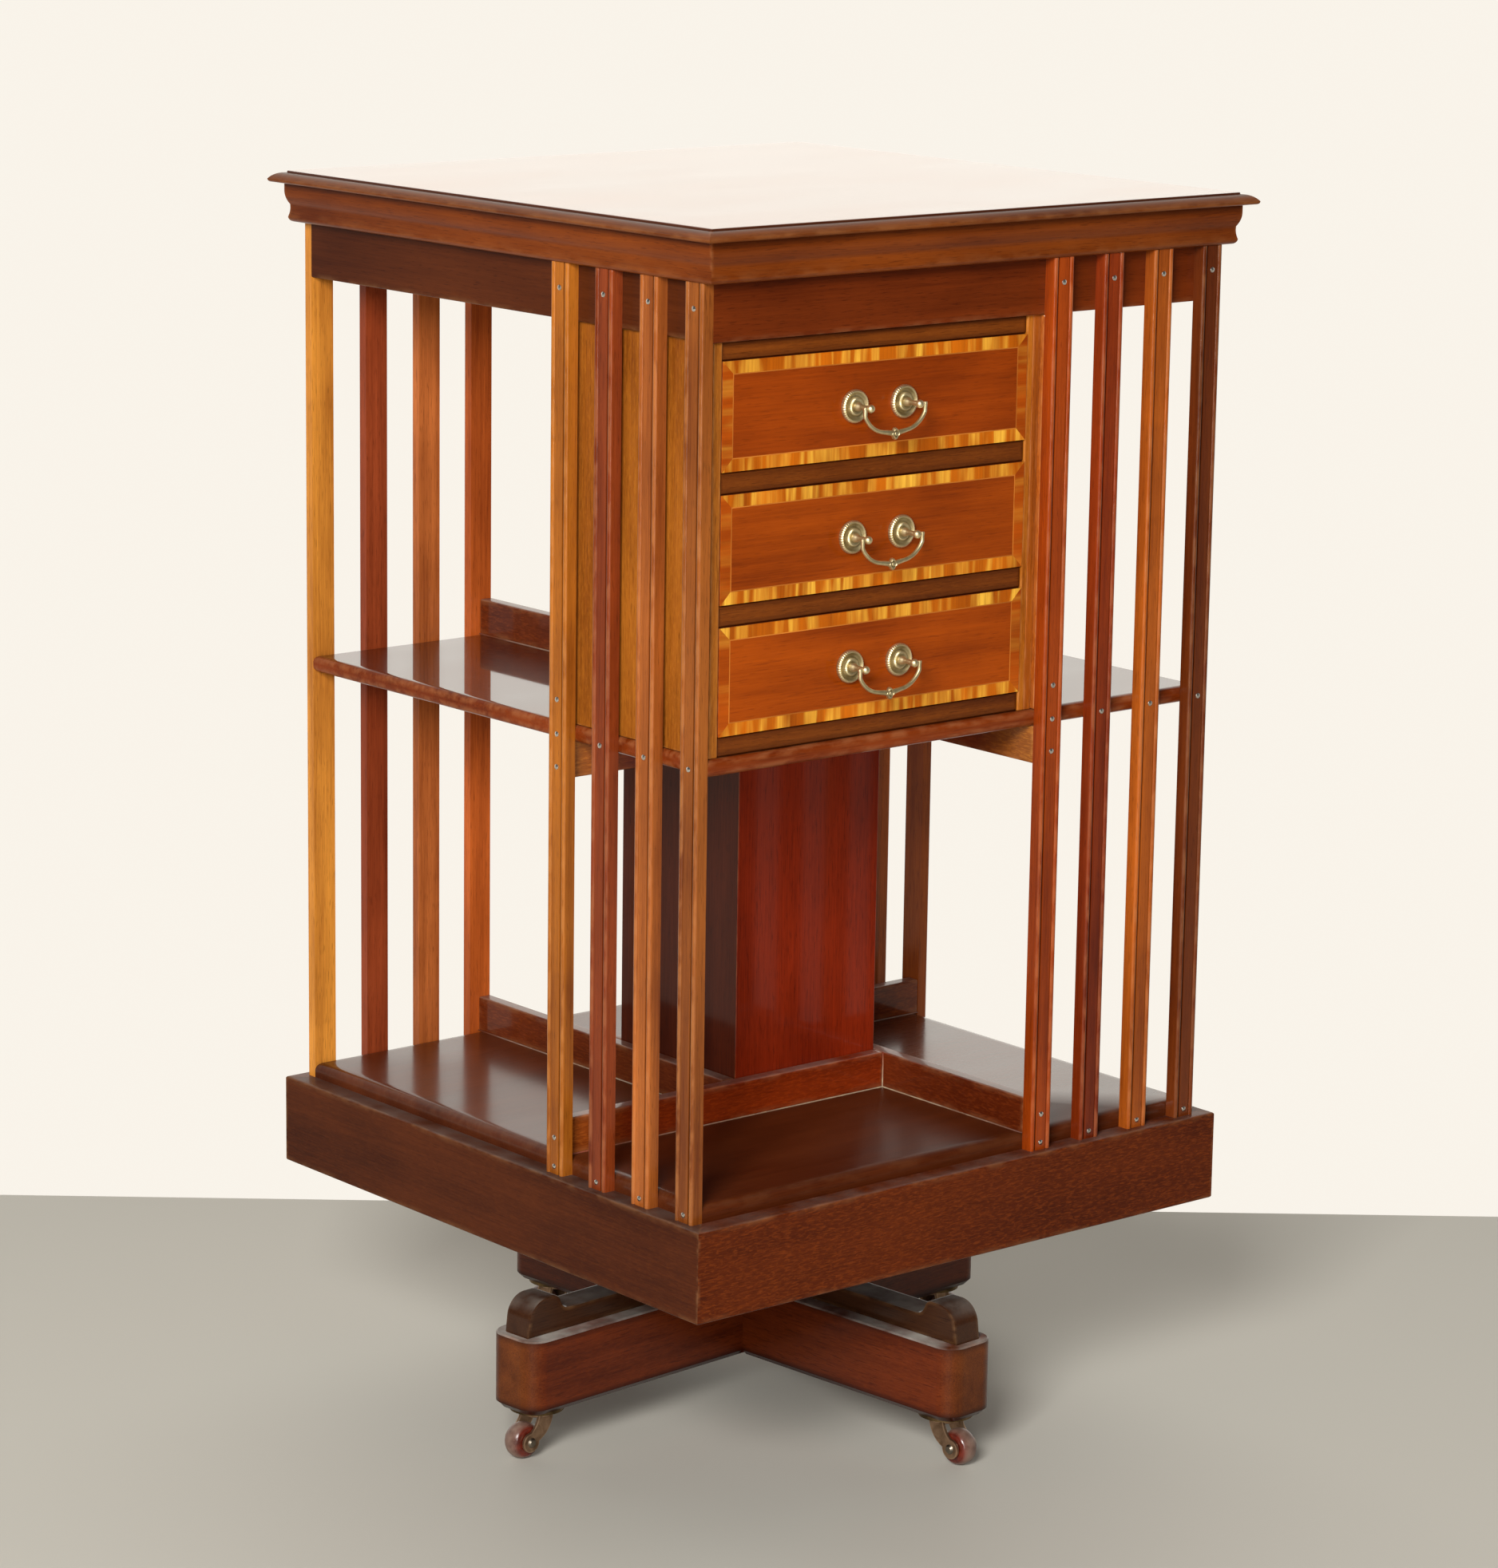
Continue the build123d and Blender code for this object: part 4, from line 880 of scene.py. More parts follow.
# Middle shelf: one mahogany board with both edges rounded, cut out in the middle for the column
# and pinned through the slats. Its upper face is polished and mirrors the room; its nose is dull.
SHELF_NOSE = 4.0
SHELF_NOSE_TONE = (118, 48, 13)
SHELF_NOSE_POLISH = 0.25
SHELF_TOP_TONE = (78, 28, 8)
shelf_wood = wood_material(
    "shelf mahogany", ribbon=0.7, pores=0.3, coat=1.0, coat_roughness=0.04, fibre=0.6, uneven_polish=True
)
shelf_corners = rectangle(COLUMN_HALF, BOARD_HALF, SHELF_BOTTOM, SHELF_TOP)
profile, rub = edged(shelf_corners, [0.0, SHELF_NOSE, SHELF_NOSE, 0.0], 1.5)
shelf = square_board(profile, 0, SHELF_NOSE_TONE, 70, rub * 0.8, closed=True)
on_top = np.isclose(shelf["points"][:, 2], SHELF_TOP)
shelf["tone"][on_top] = stain(SHELF_TOP_TONE)
shelf["tone"][~on_top, 3] = SHELF_NOSE_POLISH
make_piece("middle_shelf_wood", [shelf], shelf_wood, "case", ["middle_shelf"])

# Frieze, slats and pins: four mitred boards under the top, and on each face four upright slats with
# a scratched bead along both edges, held by bright round-headed steel pins. Stain differs by slat.
FRIEZE_INNER = 202.5
CORNICE_BOTTOM = 828.4
SLAT_HALF_WIDTH = 9.0
SLAT_THICKNESS = 9.0
SLAT_BEAD_RADIUS = 2.0
SLAT_BEAD_STEPS = 8
SLAT_QUIRK = 0.8
SLAT_SUNK = 0.6
SLAT_CENTRES = np.linspace(72.5, 209.5, 4)
SLAT_TONES = {
    "front": ((148, 59, 11), (125, 45, 12), (156, 77, 22), (97, 42, 13)),
    "right": ((143, 68, 20), (158, 80, 26), (130, 53, 16), (151, 73, 23)),
    "back": ((180, 87, 36), (177, 97, 49), (138, 60, 32), (210, 137, 56)),
    "left": ((158, 90, 26), (120, 50, 20), (152, 82, 34), (138, 75, 28)),
}
FRIEZE_TONES = {"front": (96, 37, 8), "right": (92, 36, 9), "back": (90, 36, 10), "left": (76, 33, 11)}
PIN_RADIUS = 2.0
PIN_HEIGHT = 0.9
PIN_SUNK = 1.0
PIN_LEVELS = (224.0, 519.0, 812.0)
STOP_PIN_LEVELS = (244.0, 497.0, 542.0)
frieze_wood = wood_material(
    "frieze mahogany", ribbon=1.0, pores=0.4, coat=0.18, coat_roughness=0.1, fibre=0.6
)
slat_wood = wood_material(
    "slat mahogany", ribbon=1.2, pores=0.4, coat=0.45, coat_roughness=0.16, fibre=0.7
)
pin_steel = metal_material("pin steel", (226, 222, 214), (150, 138, 124), smooth=0.2)
frieze_corners = rectangle(FRIEZE_INNER, BOARD_HALF, FRIEZE_BOTTOM, TOP_UNDERSIDE)
profile, rub = edged(frieze_corners, [0.0, 1.0, 0.0, 0.0])
frieze = mitred_frame(profile, FRIEZE_TONES, 80, rub * 0.7)
make_piece("frieze_wood", frieze, frieze_wood, "case", ["frieze"])
root = SLAT_THICKNESS - SLAT_BEAD_RADIUS
flat = SLAT_THICKNESS - SLAT_SUNK
bead_centre = SLAT_HALF_WIDTH - SLAT_BEAD_RADIUS
flat_edge = bead_centre - SLAT_BEAD_RADIUS - SLAT_QUIRK
right_half = np.concatenate([
    [(SLAT_HALF_WIDTH, 0.0)], arc((bead_centre, root), SLAT_BEAD_RADIUS, 0, 180, SLAT_BEAD_STEPS),
    [(flat_edge, root), (flat_edge, flat)],
])
slat_outline = np.concatenate([right_half, right_half[::-1] * (-1, 1)]) * (1, -1)
# Along the slat's section: the bead crest is rubbed pale, which also stands in for the glint along it
# (painted highlight); the quirk beside it is painted dark as shade.
over_bead = np.sin(np.linspace(0.0, math.pi, SLAT_BEAD_STEPS + 1)[:-1])
bead_wear_glint_and_shade = np.concatenate([[0.0], over_bead * 0.8, [-0.9, -0.9, 0.0]])
slat_wear_glint_and_shade = np.concatenate([bead_wear_glint_and_shade, bead_wear_glint_and_shade[::-1]])
dome = np.radians(np.array([0.0, 30.0, 60.0, 80.0]))
pin_profile = [(PIN_RADIUS, -PIN_SUNK)] + list(zip(PIN_RADIUS * np.cos(dome), PIN_HEIGHT * np.sin(dome)))
for number, (face, angle) in enumerate(FACES.items()):
    slats = []
    pins = []
    for place, (centre, tone) in enumerate(zip(SLAT_CENTRES, SLAT_TONES[face])):
        plan = slat_outline + (centre, -BOARD_HALF)
        rings = [np.insert(plan, 2, height, axis=1) for height in (APRON_TOP, CORNICE_BOTTOM)]
        slat = wood_part(loft(rings), 2, tone, 90 + 4 * number + place, np.tile(slat_wear_glint_and_shade, 2))
        slats.append(turn(slat, angle))
        levels = PIN_LEVELS + (STOP_PIN_LEVELS if place == 0 else ())
        for level in levels:
            head = tip(plain_part(lathe(pin_profile, 12), 0.8))
            head["points"] = head["points"] * (1, -1, 1)
            pins.append(turn(move(head, centre, -BOARD_HALF - flat, level), angle))
    make_piece(f"slats_{face}_wood", slats, slat_wood, "case", [f"slats_{face}"])
    make_piece(f"slat_pins_{face}", pins, pin_steel, "case", [])

# Top and cornice: a polished square field stepped up inside a thumb-moulded lip, mitred at the
# corners, over a cornice of lobe, hollow and rounded foot. The lip is the most handled edge.
TOP_SURFACE = 863.5
TOP_HALF = 240.0
FIELD_HALF = 230.25
FIELD_STEP = 1.4
LIP_UNDERSIDE = 855.5
LIP_NOSE_DROP = 5.8
LIP_UNDER = 2.2
LOBE_HALF = 231.7
LOBE_DROP = 6.0
NECK = 2.8
NECK_DROP = 15.0
BELLY = 1.8
FOOT_ROUND = 3.5
MOULDING_STEPS = 8
TOP_FIELD_TONE = (150, 84, 46)
LIP_TONE = (112, 56, 16)
CORNICE_TONE = (114, 52, 12)


def arc_through(first, middle, last):
    """Points of the circle's arc through three points."""
    (ax, ay), (bx, by), (cx, cy) = first, middle, last
    scale = 2 * (ax * (by - cy) + bx * (cy - ay) + cx * (ay - by))
    a2, b2, c2 = ax**2 + ay**2, bx**2 + by**2, cx**2 + cy**2
    centre = np.array([
        (a2 * (by - cy) + b2 * (cy - ay) + c2 * (ay - by)) / scale,
        (a2 * (cx - bx) + b2 * (ax - cx) + c2 * (bx - ax)) / scale,
    ])
    angles = [math.atan2(y - centre[1], x - centre[0]) for x, y in (first, middle, last)]
    low, _, high = np.unwrap(angles)
    return arc(centre, math.dist(first, centre), math.degrees(low), math.degrees(high), MOULDING_STEPS)


top_wood = wood_material("top mahogany", ribbon=0.7, pores=0.5, coat=1.0, coat_roughness=0.06)
lip_wood = wood_material(
    "cornice mahogany", ribbon=1.0, pores=0.4, coat=0.25, coat_roughness=0.1, fibre=0.6
)
field_profile = [
    (BOARD_HALF, TOP_UNDERSIDE), (BOARD_HALF, LIP_UNDERSIDE), (FIELD_HALF, LIP_UNDERSIDE),
    (FIELD_HALF, TOP_SURFACE - 0.6), (FIELD_HALF - 0.2, TOP_SURFACE - 0.2),
    (FIELD_HALF - 0.7, TOP_SURFACE), (FIELD_HALF - 3.0, TOP_SURFACE),
]
# The step up from the lip to the field is painted dark: painted shade for the dark line the polish shows
# along it.
field_step_painted_shade = [0.0, 0.0, 0.0, -1.0, -0.8, -0.3, 0.0]
field = square_board(field_profile, 0, TOP_FIELD_TONE, 120, field_step_painted_shade, closed=False)
shoulder = TOP_SURFACE - FIELD_STEP
nose_height = TOP_SURFACE - LIP_NOSE_DROP
crest = ((FIELD_HALF + 2 * TOP_HALF) / 3, (2 * shoulder + nose_height) / 3)
knee_height = (LIP_UNDERSIDE + nose_height) / 2 - LIP_UNDER / 4
knee = (TOP_HALF - LIP_UNDER * (1 - math.sqrt(0.5)), knee_height)
lip_profile = np.concatenate([
    [(FIELD_HALF, LIP_UNDERSIDE)],
    arc_through((TOP_HALF - LIP_UNDER, LIP_UNDERSIDE), knee, (TOP_HALF, nose_height)),
    arc_through((TOP_HALF, nose_height), crest, (FIELD_HALF, shoulder))[1:],
])
# Over the lip: its nose is rubbed pale, and its top darkens towards the field as painted shade along the
# step.
lip_wear_and_painted_shade = np.concatenate([
    [0.0], np.linspace(0.1, 0.5, MOULDING_STEPS + 1), np.linspace(0.3, -0.8, MOULDING_STEPS)
])
lip = mitred_frame(lip_profile, dict.fromkeys(FACES, LIP_TONE), 121, lip_wear_and_painted_shade, corner_wear_and_glint=0.5)
make_piece("top_board_field", [field], top_wood, "case", ["top_board"])
make_piece("top_board_lip", lip, lip_wood, "case", ["top_board"])
neck = (LOBE_HALF - NECK, LIP_UNDERSIDE - NECK_DROP)
lobe_end = (LOBE_HALF, LIP_UNDERSIDE - LOBE_DROP)
cheek = (LOBE_HALF - NECK / 4, (lobe_end[1] + neck[1]) / 2)
belly = (LOBE_HALF - BELLY, CORNICE_BOTTOM + FOOT_ROUND)
hollow = (LOBE_HALF - NECK, (neck[1] + belly[1]) / 2)
foot = (LOBE_HALF - BELLY - FOOT_ROUND, CORNICE_BOTTOM)
toe_shift = FOOT_ROUND * (1 - math.sqrt(0.5))
toe = (LOBE_HALF - BELLY - toe_shift, CORNICE_BOTTOM + toe_shift)
cornice_profile = np.concatenate([
    [(BOARD_HALF, CORNICE_BOTTOM)], arc_through(foot, toe, belly),
    arc_through(belly, hollow, neck)[1:], arc_through(neck, cheek, lobe_end)[1:],
    [(LOBE_HALF, LIP_UNDERSIDE), (BOARD_HALF, LIP_UNDERSIDE)],
])
# Over the cornice: the foot and lower hollow are paler and the lobe a little darker, partly rubbed wear and
# partly painted light that evens out the shade on the moulding; the face under the lip is painted dark as
# shade under its overhang.
cornice_wear_and_painted_light = np.concatenate([
    [0.0], np.linspace(0.1, 0.3, MOULDING_STEPS + 1), np.linspace(0.2, -0.1, MOULDING_STEPS),
    np.linspace(-0.1, 0.0, MOULDING_STEPS), [-0.6, -0.6],
])
cornice_tones = dict.fromkeys(FACES, CORNICE_TONE)
cornice = mitred_frame(cornice_profile, cornice_tones, 130, cornice_wear_and_painted_light, corner_wear_and_glint=0.7)
make_piece("cornice_wood", cornice, lip_wood, "case", ["cornice"])

# Drawer case: it fills one upper bay. Thin mahogany sides and back, golden at the front edges, with
# rails between the drawers and runners behind them. The right stile is two strips glued together.
CASE_FRONT = -215.0
CASE_BACK = -63.5
OPENING_LEFT = -208.0
OPENING_RIGHT = 52.0
STRIP_JOINT = 57.2
RAIL_FRONT = -214.0
RAIL_DEPTH = 38.0
RAIL_LEVELS = ((778.4, 790.4), (693.6, 707.6), (608.8, 622.8), (525.0, 538.0))
RAIL_EASE = 1.2
RAIL_TONE = (104, 50, 11)
SIDE_EASE = 0.6
LEFT_SIDE_TONE = (154, 89, 28)
INNER_STRIP_TONE = (168, 95, 26)
OUTER_STRIP_TONE = (146, 74, 20)
case_wood = wood_material(
    "drawer case mahogany", ribbon=1.1, pores=0.4, coat=0.25, coat_roughness=0.14, fibre=0.7, fleck=0.1
)
case_y = (CASE_FRONT, CASE_BACK)
case_z = (SHELF_TOP, FRIEZE_BOTTOM)
rail_x = (OPENING_LEFT, OPENING_RIGHT)
rail_y = (RAIL_FRONT, RAIL_FRONT + RAIL_DEPTH)
left_side, inner_strip, outer_strip = (
    board(strip_x, case_y, case_z, SIDE_EASE, 2, tone, seed)
    for seed, (strip_x, tone) in enumerate((
        ((CASE_FRONT, OPENING_LEFT), LEFT_SIDE_TONE), ((OPENING_RIGHT, STRIP_JOINT), INNER_STRIP_TONE),
        ((STRIP_JOINT, COLUMN_HALF), OUTER_STRIP_TONE),
    ), start=140)
)
# The rails are darkened along every edge (wear below 0): painted shade where they meet the drawer fronts
# and round their edges.
rails = [
    board(rail_x, rail_y, level, RAIL_EASE, 0, RAIL_TONE, seed, -0.7)
    for seed, level in enumerate(RAIL_LEVELS, start=143)
]
make_piece(
    "drawer_case_left", [left_side], case_wood, "case", ["drawer_case_left_side"]
)
make_piece(
    "drawer_case_right", [inner_strip, outer_strip], case_wood, "case",
    ["drawer_case_right_side"],
)
make_piece("drawer_rails_wood", rails, case_wood, "case", ["drawer_rails"])
back_wood = hidden_wood_material("drawer case back mahogany", (118, 62, 34), along=2)
runner_wood = hidden_wood_material("runner pine", (164, 116, 70), along=1)
dress("drawer_case_back", back_wood)
dress("drawer_runners", runner_wood)

# Drawers: a mahogany front veneered with a red-brown field, a fine string line and satinwood
# cross-banding laid in short lengths and mitred at the corners. Sides, back and bottom are plain pine.
FRONT_LEFT = -207.5
FRONT_RIGHT = 51.5
FRONT_FACE = -215.6
FRONT_BACK = -201.6
VENEER = 0.7
BAND = 8.0
STRING = 0.7
CORE_EASE = 0.3
LEAF_EASE = 0.06
FRONT_LEVELS = {1: (707.9, 778.1), 2: (623.1, 693.3), 3: (538.3, 608.5)}
# The fields are lighter from the top drawer down: painted light that makes up for the light falling off
# towards the lower drawers.
FIELD_TONES_WITH_PAINTED_LIGHT = {1: (138, 55, 5), 2: (146, 61, 6), 3: (154, 65, 6)}
CORE_TONE = (120, 52, 24)
STRING_TONE = (196, 116, 44)
LEVEL_BAND_TONE = (182, 92, 9)
LEVEL_BAND_FLAME = 1.0
UPRIGHT_BAND_TONE = (166, 72, 7)
UPRIGHT_BAND_FLAME = 0.25
FLAME_TONE = (250, 190, 66)


def veneer(corners, along, tone, seed, flame=0.0):
    """Thin leaf on the face of a drawer front, from (x, z) corners, its rim just broken."""
    outline = np.asarray(corners, dtype=float)
    shape, _ = plate(outline, FRONT_FACE, FRONT_FACE + VENEER, LEAF_EASE)
    return wood_part(shape, along, tone, seed, flame)


def frame_leaves(left, right, low, high, width):
    """Corners of the four mitred leaves round a rectangle, from the bottom anticlockwise: each is
    an outer side of the rectangle and the inner side a width within it."""
    outer = np.array(rectangle(left, right, low, high))
    inner = np.array(rectangle(left + width, right - width, low + width, high - width))
    return [(outer[side], outer[(side + 1) % 4], inner[(side + 1) % 4], inner[side]) for side in range(4)]


def banding_material():
    """Satinwood cross-banding: orange wood with bright yellow flames that cross the band. The part's
    wear is used as the strength of the flames, which is low on the upright bands."""
    material, tree, shader = new_material("satinwood banding")
    grain = part_field(tree, "grain")["Vector"]
    tone = part_field(tree, "tone")["Color"]
    strength = part_field(tree, "wear")["Fac"]
    figure = wood_figure(tree, grain, tone, wear=0.0, ribbon=0.9, fibre=0.5, fleck=0.0, pores=0.1)
    lengths = rescale(tree, noise(tree, grain, (12.0, 120.0, 120.0), 1.5, 0.4), 0.44, 0.62)
    threads = rescale(tree, noise(tree, grain, (24.0, 420.0, 420.0), 2.0, 0.6), 0.35, 0.65, 0.5, 1.0)
    where = rescale(tree, noise(tree, grain, (3.0, 24.0, 24.0), 1.0), 0.35, 0.60, 0.4, 1.0)
    flame = calculate(tree, "MULTIPLY", calculate(tree, "MULTIPLY", lengths, threads), where)
    flame = calculate(tree, "MULTIPLY", flame, strength)
    colour = blend(tree, flame, figure["Color"], stain(FLAME_TONE))
    link_surface(tree, shader, colour, figure["Roughness"], figure["Height"], 0.2)
    shader.inputs["Coat Weight"].default_value = 0.2
    shader.inputs["Coat Roughness"].default_value = 0.1
    shader.inputs["Specular IOR Level"].default_value = WOOD_SPECULAR
    return material


front_wood = wood_material(
    "drawer front veneer", ribbon=0.7, pores=0.25, coat=0.2, coat_roughness=0.1, fibre=0.6
)
banding_wood = banding_material()
lining_wood = hidden_wood_material("drawer lining pine", (176, 128, 80), along=1)
for number, (low, high) in FRONT_LEVELS.items():
    core_x = (FRONT_LEFT, FRONT_RIGHT)
    core_y = (FRONT_FACE + VENEER, FRONT_BACK)
    leaves = [board(core_x, core_y, (low, high), CORE_EASE, 0, CORE_TONE, 150 + number)]
    bands = []
    for side, corners in enumerate(frame_leaves(FRONT_LEFT, FRONT_RIGHT, low, high, BAND)):
        along, tone, flame = 2, LEVEL_BAND_TONE, LEVEL_BAND_FLAME
        if side % 2 == 1:
            along, tone, flame = 0, UPRIGHT_BAND_TONE, UPRIGHT_BAND_FLAME
        bands.append(veneer(corners, along, tone, 200 + 4 * number + side, flame))
    inside = (FRONT_LEFT + BAND, FRONT_RIGHT - BAND, low + BAND, high - BAND)
    for side, corners in enumerate(frame_leaves(*inside, STRING)):
        along = 2 if side % 2 else 0
        leaves.append(veneer(corners, along, STRING_TONE, 220 + 4 * number + side))
    left, right, bottom, top = np.array(inside) + (STRING, -STRING, STRING, -STRING)
    field_corners = rectangle(left, right, bottom, top)
    leaves.append(veneer(field_corners, 0, FIELD_TONES_WITH_PAINTED_LIGHT[number], 160 + number))
    body = f"drawer_{number}"
    node = f"drawer_{number}_front"
    make_piece(f"{node}_veneer", leaves, front_wood, body, [node])
    make_piece(f"{node}_banding", bands, banding_wood, body, [node])
    dress(f"drawer_{number}_box", lining_wood)
    dress(f"drawer_{number}_bottom", lining_wood)

# Handles: stamped brass roses with a milled rim round a dished ring and a milled boss, cast posts
# with a ball end, and a drop bail bent from wire, swelling to a four-lobed flower. Aged to pale gold.
HANDLE_X = -78.0
POST_HALF_SPACING = 21.0
PIVOT_LEVELS = {1: 742.0, 2: 657.2, 3: 572.4}
BALL_REACH = 16.5
BALL_RADIUS = 2.8
ROSE_RADIUS = 11.0
MILLED_TEETH = 40
ROSE_SEGMENTS = 160
SHANK_RADIUS = 2.0
SHANK_END = -19.0
NUT_HALF = 4.0
NUT_FACE = -14.0
NUT_BACK = -17.0
NUT_CORNER = 0.6
NUT_EASE = 0.3
BAIL_RADIUS = 1.35
WIRE_SIDES = 14
BAIL_LEG_X = 25.5
BAIL_DROP = 17.5
BAIL_SHOULDER = 11.0
BAIL_SHOULDER_RISE = 1.8
BAIL_LEG = 5.0
BAIL_LEG_TOP = 1.2
BAIL_SWELL = 0.35
BAIL_EYE_SWELL = 0.15
BAIL_PIN_RADIUS = 1.0
BAIL_PIN_START = 18.3
BAIL_PIN_END = 27.0
FLOWER_RADIUS = 4.0
FLOWER_HALF_THICKNESS = 2.2
FLOWER_LOBES = 4
FLOWER_NOTCH = 0.26
FLOWER_HOLLOW = 0.25
FLOWER_SEGMENTS = 64


def rose_shape():
    """Rose, post and ball turned about Z; on the two milled rings the radius is pressed in and out
    by a cosine, forty teeth to the turn. Gives the shape, and how clean each ring of it is."""
    ball = np.radians(np.linspace(-62.0, 84.0, 12))
    ball_radius = BALL_RADIUS * np.cos(ball)
    ball_height = BALL_REACH + BALL_RADIUS * np.sin(ball)
    rows = [
        (SHANK_RADIUS, SHANK_END, 0.0, 0.2), (SHANK_RADIUS, 0.0, 0.0, 0.2),
        (ROSE_RADIUS - 0.3, 0.0, 0.0, 0.2), (ROSE_RADIUS, 0.5, 0.2, 0.4), (ROSE_RADIUS, 1.9, 0.45, 0.9),
        (ROSE_RADIUS - 0.5, 2.8, 0.45, 1.0), (ROSE_RADIUS - 1.2, 3.2, 0.25, 1.0),
        (ROSE_RADIUS - 1.9, 2.9, 0.0, 0.7), (ROSE_RADIUS - 2.3, 2.1, 0.0, 0.2),
        (ROSE_RADIUS - 3.4, 1.5, 0.0, 0.25), (7.0, 1.4, 0.0, 0.2), (6.3, 1.6, 0.2, 0.1),
        (6.1, 2.8, 0.35, 0.6), (5.7, 3.5, 0.35, 0.9), (5.0, 3.9, 0.1, 0.9), (4.0, 3.8, 0.0, 0.5),
        (3.3, 3.6, 0.0, 0.2), (3.1, 4.4, 0.0, 0.6), (2.8, 5.8, 0.0, 0.9), (2.2, 6.8, 0.0, 0.8),
        (1.75, 8.0, 0.0, 0.6), (1.6, 10.5, 0.0, 0.7), (1.7, 12.8, 0.0, 0.6),
    ]
    rows += [(radius, height, 0.0, 0.9) for radius, height in zip(ball_radius, ball_height)]
    radius, height, milling, clean = np.array(rows).T[:, :, None]
    angle = full_turn(ROSE_SEGMENTS)
    spread = radius + milling * (np.cos(MILLED_TEETH * angle) - 1) / 2
    rings = np.stack([spread * np.cos(angle), spread * np.sin(angle), height + 0 * angle], axis=-1)
    return loft(rings), np.repeat(clean.ravel(), ROSE_SEGMENTS)


def wire_shape(path, radius):
    """Round wire along a path in the XZ plane: a circle of each point's radius stands square to it."""
    ahead = unit(np.gradient(path, axis=0))
    out = np.stack([-ahead[:, 1], ahead[:, 0]], axis=1)
    angle = full_turn(WIRE_SIDES)
    reach = radius[:, None] * np.cos(angle)
    depth = radius[:, None] * np.sin(angle)
    x = path[:, :1] + out[:, :1] * reach
    z = path[:, 1:] + out[:, 1:] * reach
    return loft(np.stack([x, depth, z], axis=-1))


def bail_wire():
    """Wire of the bail about its pivot: it rises a little from the middle to a shoulder on each side,
    bends round to an upright leg, and is thicker beside the flower and at the eyes."""
    knee = (BAIL_SHOULDER, -BAIL_DROP + BAIL_SHOULDER_RISE)
    slope = math.atan2(BAIL_SHOULDER_RISE, BAIL_SHOULDER)
    run = np.array([BAIL_LEG_X, -BAIL_LEG]) - knee
    aside = np.array([-math.sin(slope), math.cos(slope)])
    bend = float(run @ run) / (2 * float(run @ aside))
    centre = np.array(knee) + aside * bend
    finish = math.degrees(math.atan2(-BAIL_LEG - centre[1], BAIL_LEG_X - centre[0]))
    start = math.degrees(math.atan2(-aside[1], -aside[0]))
    half = np.concatenate([
        np.linspace((0.0, -BAIL_DROP), knee, 7)[:-1], arc(centre, bend, start, finish, 14),
        np.linspace((BAIL_LEG_X, -BAIL_LEG), (BAIL_LEG_X, BAIL_LEG_TOP), 5)[1:],
    ])
    path = np.concatenate([half[:0:-1] * (-1, 1), half])
    swell = np.exp(-((np.abs(path[:, 0]) - 3.0) / 5.0) ** 2)
    eye = np.clip((path[:, 1] + 2.0) / 3.0, 0.0, 1.0)
    radius = BAIL_RADIUS + BAIL_SWELL * swell + BAIL_EYE_SWELL * eye
    return plain_part(wire_shape(path, radius), 0.75)


def bail_pin(side):
    """Pin that one end of the bail turns on, with its rims eased."""
    points, faces = lathe([
        (BAIL_PIN_RADIUS - 0.1, BAIL_PIN_START), (BAIL_PIN_RADIUS, BAIL_PIN_START + 0.3),
        (BAIL_PIN_RADIUS, BAIL_PIN_END - 0.4), (BAIL_PIN_RADIUS - 0.3, BAIL_PIN_END),
    ], 16)
    return plain_part((points[:, [2, 1, 0]] * (side, 1.0, 1.0), faces), 0.8)


def bail_flower():
    """Flower in the middle of the bail. Each row is a share of the radius, how far the lobes show
    there, a share of the thickness, and how clean the brass is; a cosine presses the radius in
    between the lobes, and the face rises to each lobe and to the middle."""
    rows = np.array([
        (0.55, 1.0, -1.0, 0.3), (0.95, 1.0, -0.6, 0.6), (1.0, 1.0, 0.0, 0.8), (0.95, 1.0, 0.55, 0.9),
        (0.8, 0.9, 0.9, 1.0), (0.62, 0.6, 0.85, 0.8), (0.46, 0.2, 0.55, 0.1), (0.36, 0.0, 0.65, 0.2),
        (0.28, 0.0, 0.92, 0.9), (0.10, 0.0, 1.0, 1.0),
    ])
    share, lobed, rise, clean = rows.T[:, :, None]
    angle = full_turn(FLOWER_SEGMENTS)
    between_lobes = lobed * (0.5 - 0.5 * np.cos(FLOWER_LOBES * angle))
    spread = share * FLOWER_RADIUS * (1 - FLOWER_NOTCH * between_lobes)
    depth = -rise * FLOWER_HALF_THICKNESS * (1 - FLOWER_HOLLOW * between_lobes)
    rings = np.stack([spread * np.cos(angle), depth, spread * np.sin(angle) - BAIL_DROP], axis=-1)
    return plain_part(loft(rings), np.repeat(clean.ravel(), FLOWER_SEGMENTS))


handle_brass = metal_material("handle brass", (232, 216, 172), (156, 136, 92), smooth=0.42)
nut_corners = rectangle(-NUT_HALF, NUT_HALF, -NUT_HALF, NUT_HALF)
nut_outline = rounded(nut_corners, [NUT_CORNER] * 4, 3)
for number, level in PIVOT_LEVELS.items():
    posts = []
    for side in (-POST_HALF_SPACING, POST_HALF_SPACING):
        shape, clean = rose_shape()
        nut, _ = plate(nut_outline, NUT_BACK, NUT_FACE, NUT_EASE, upright=2)
        for part in (plain_part(shape, clean), plain_part(nut, 0.3)):
            part["points"] = part["points"][:, [0, 2, 1]] * (1, -1, 1)
            posts.append(move(part, HANDLE_X + side, FRONT_FACE, level))
    bail_parts = [bail_wire(), bail_pin(-1.0), bail_pin(1.0), bail_flower()]
    bail = [move(part, HANDLE_X, FRONT_FACE - BALL_REACH, level) for part in bail_parts]
    make_piece(
        f"handle_{number}_roses", posts, handle_brass, f"drawer_{number}",
        [f"handle_{number}_posts"],
    )
    make_piece(
        f"handle_{number}_drop", bail, handle_brass, f"handle_{number}",
        [f"handle_{number}_bail"],
    )

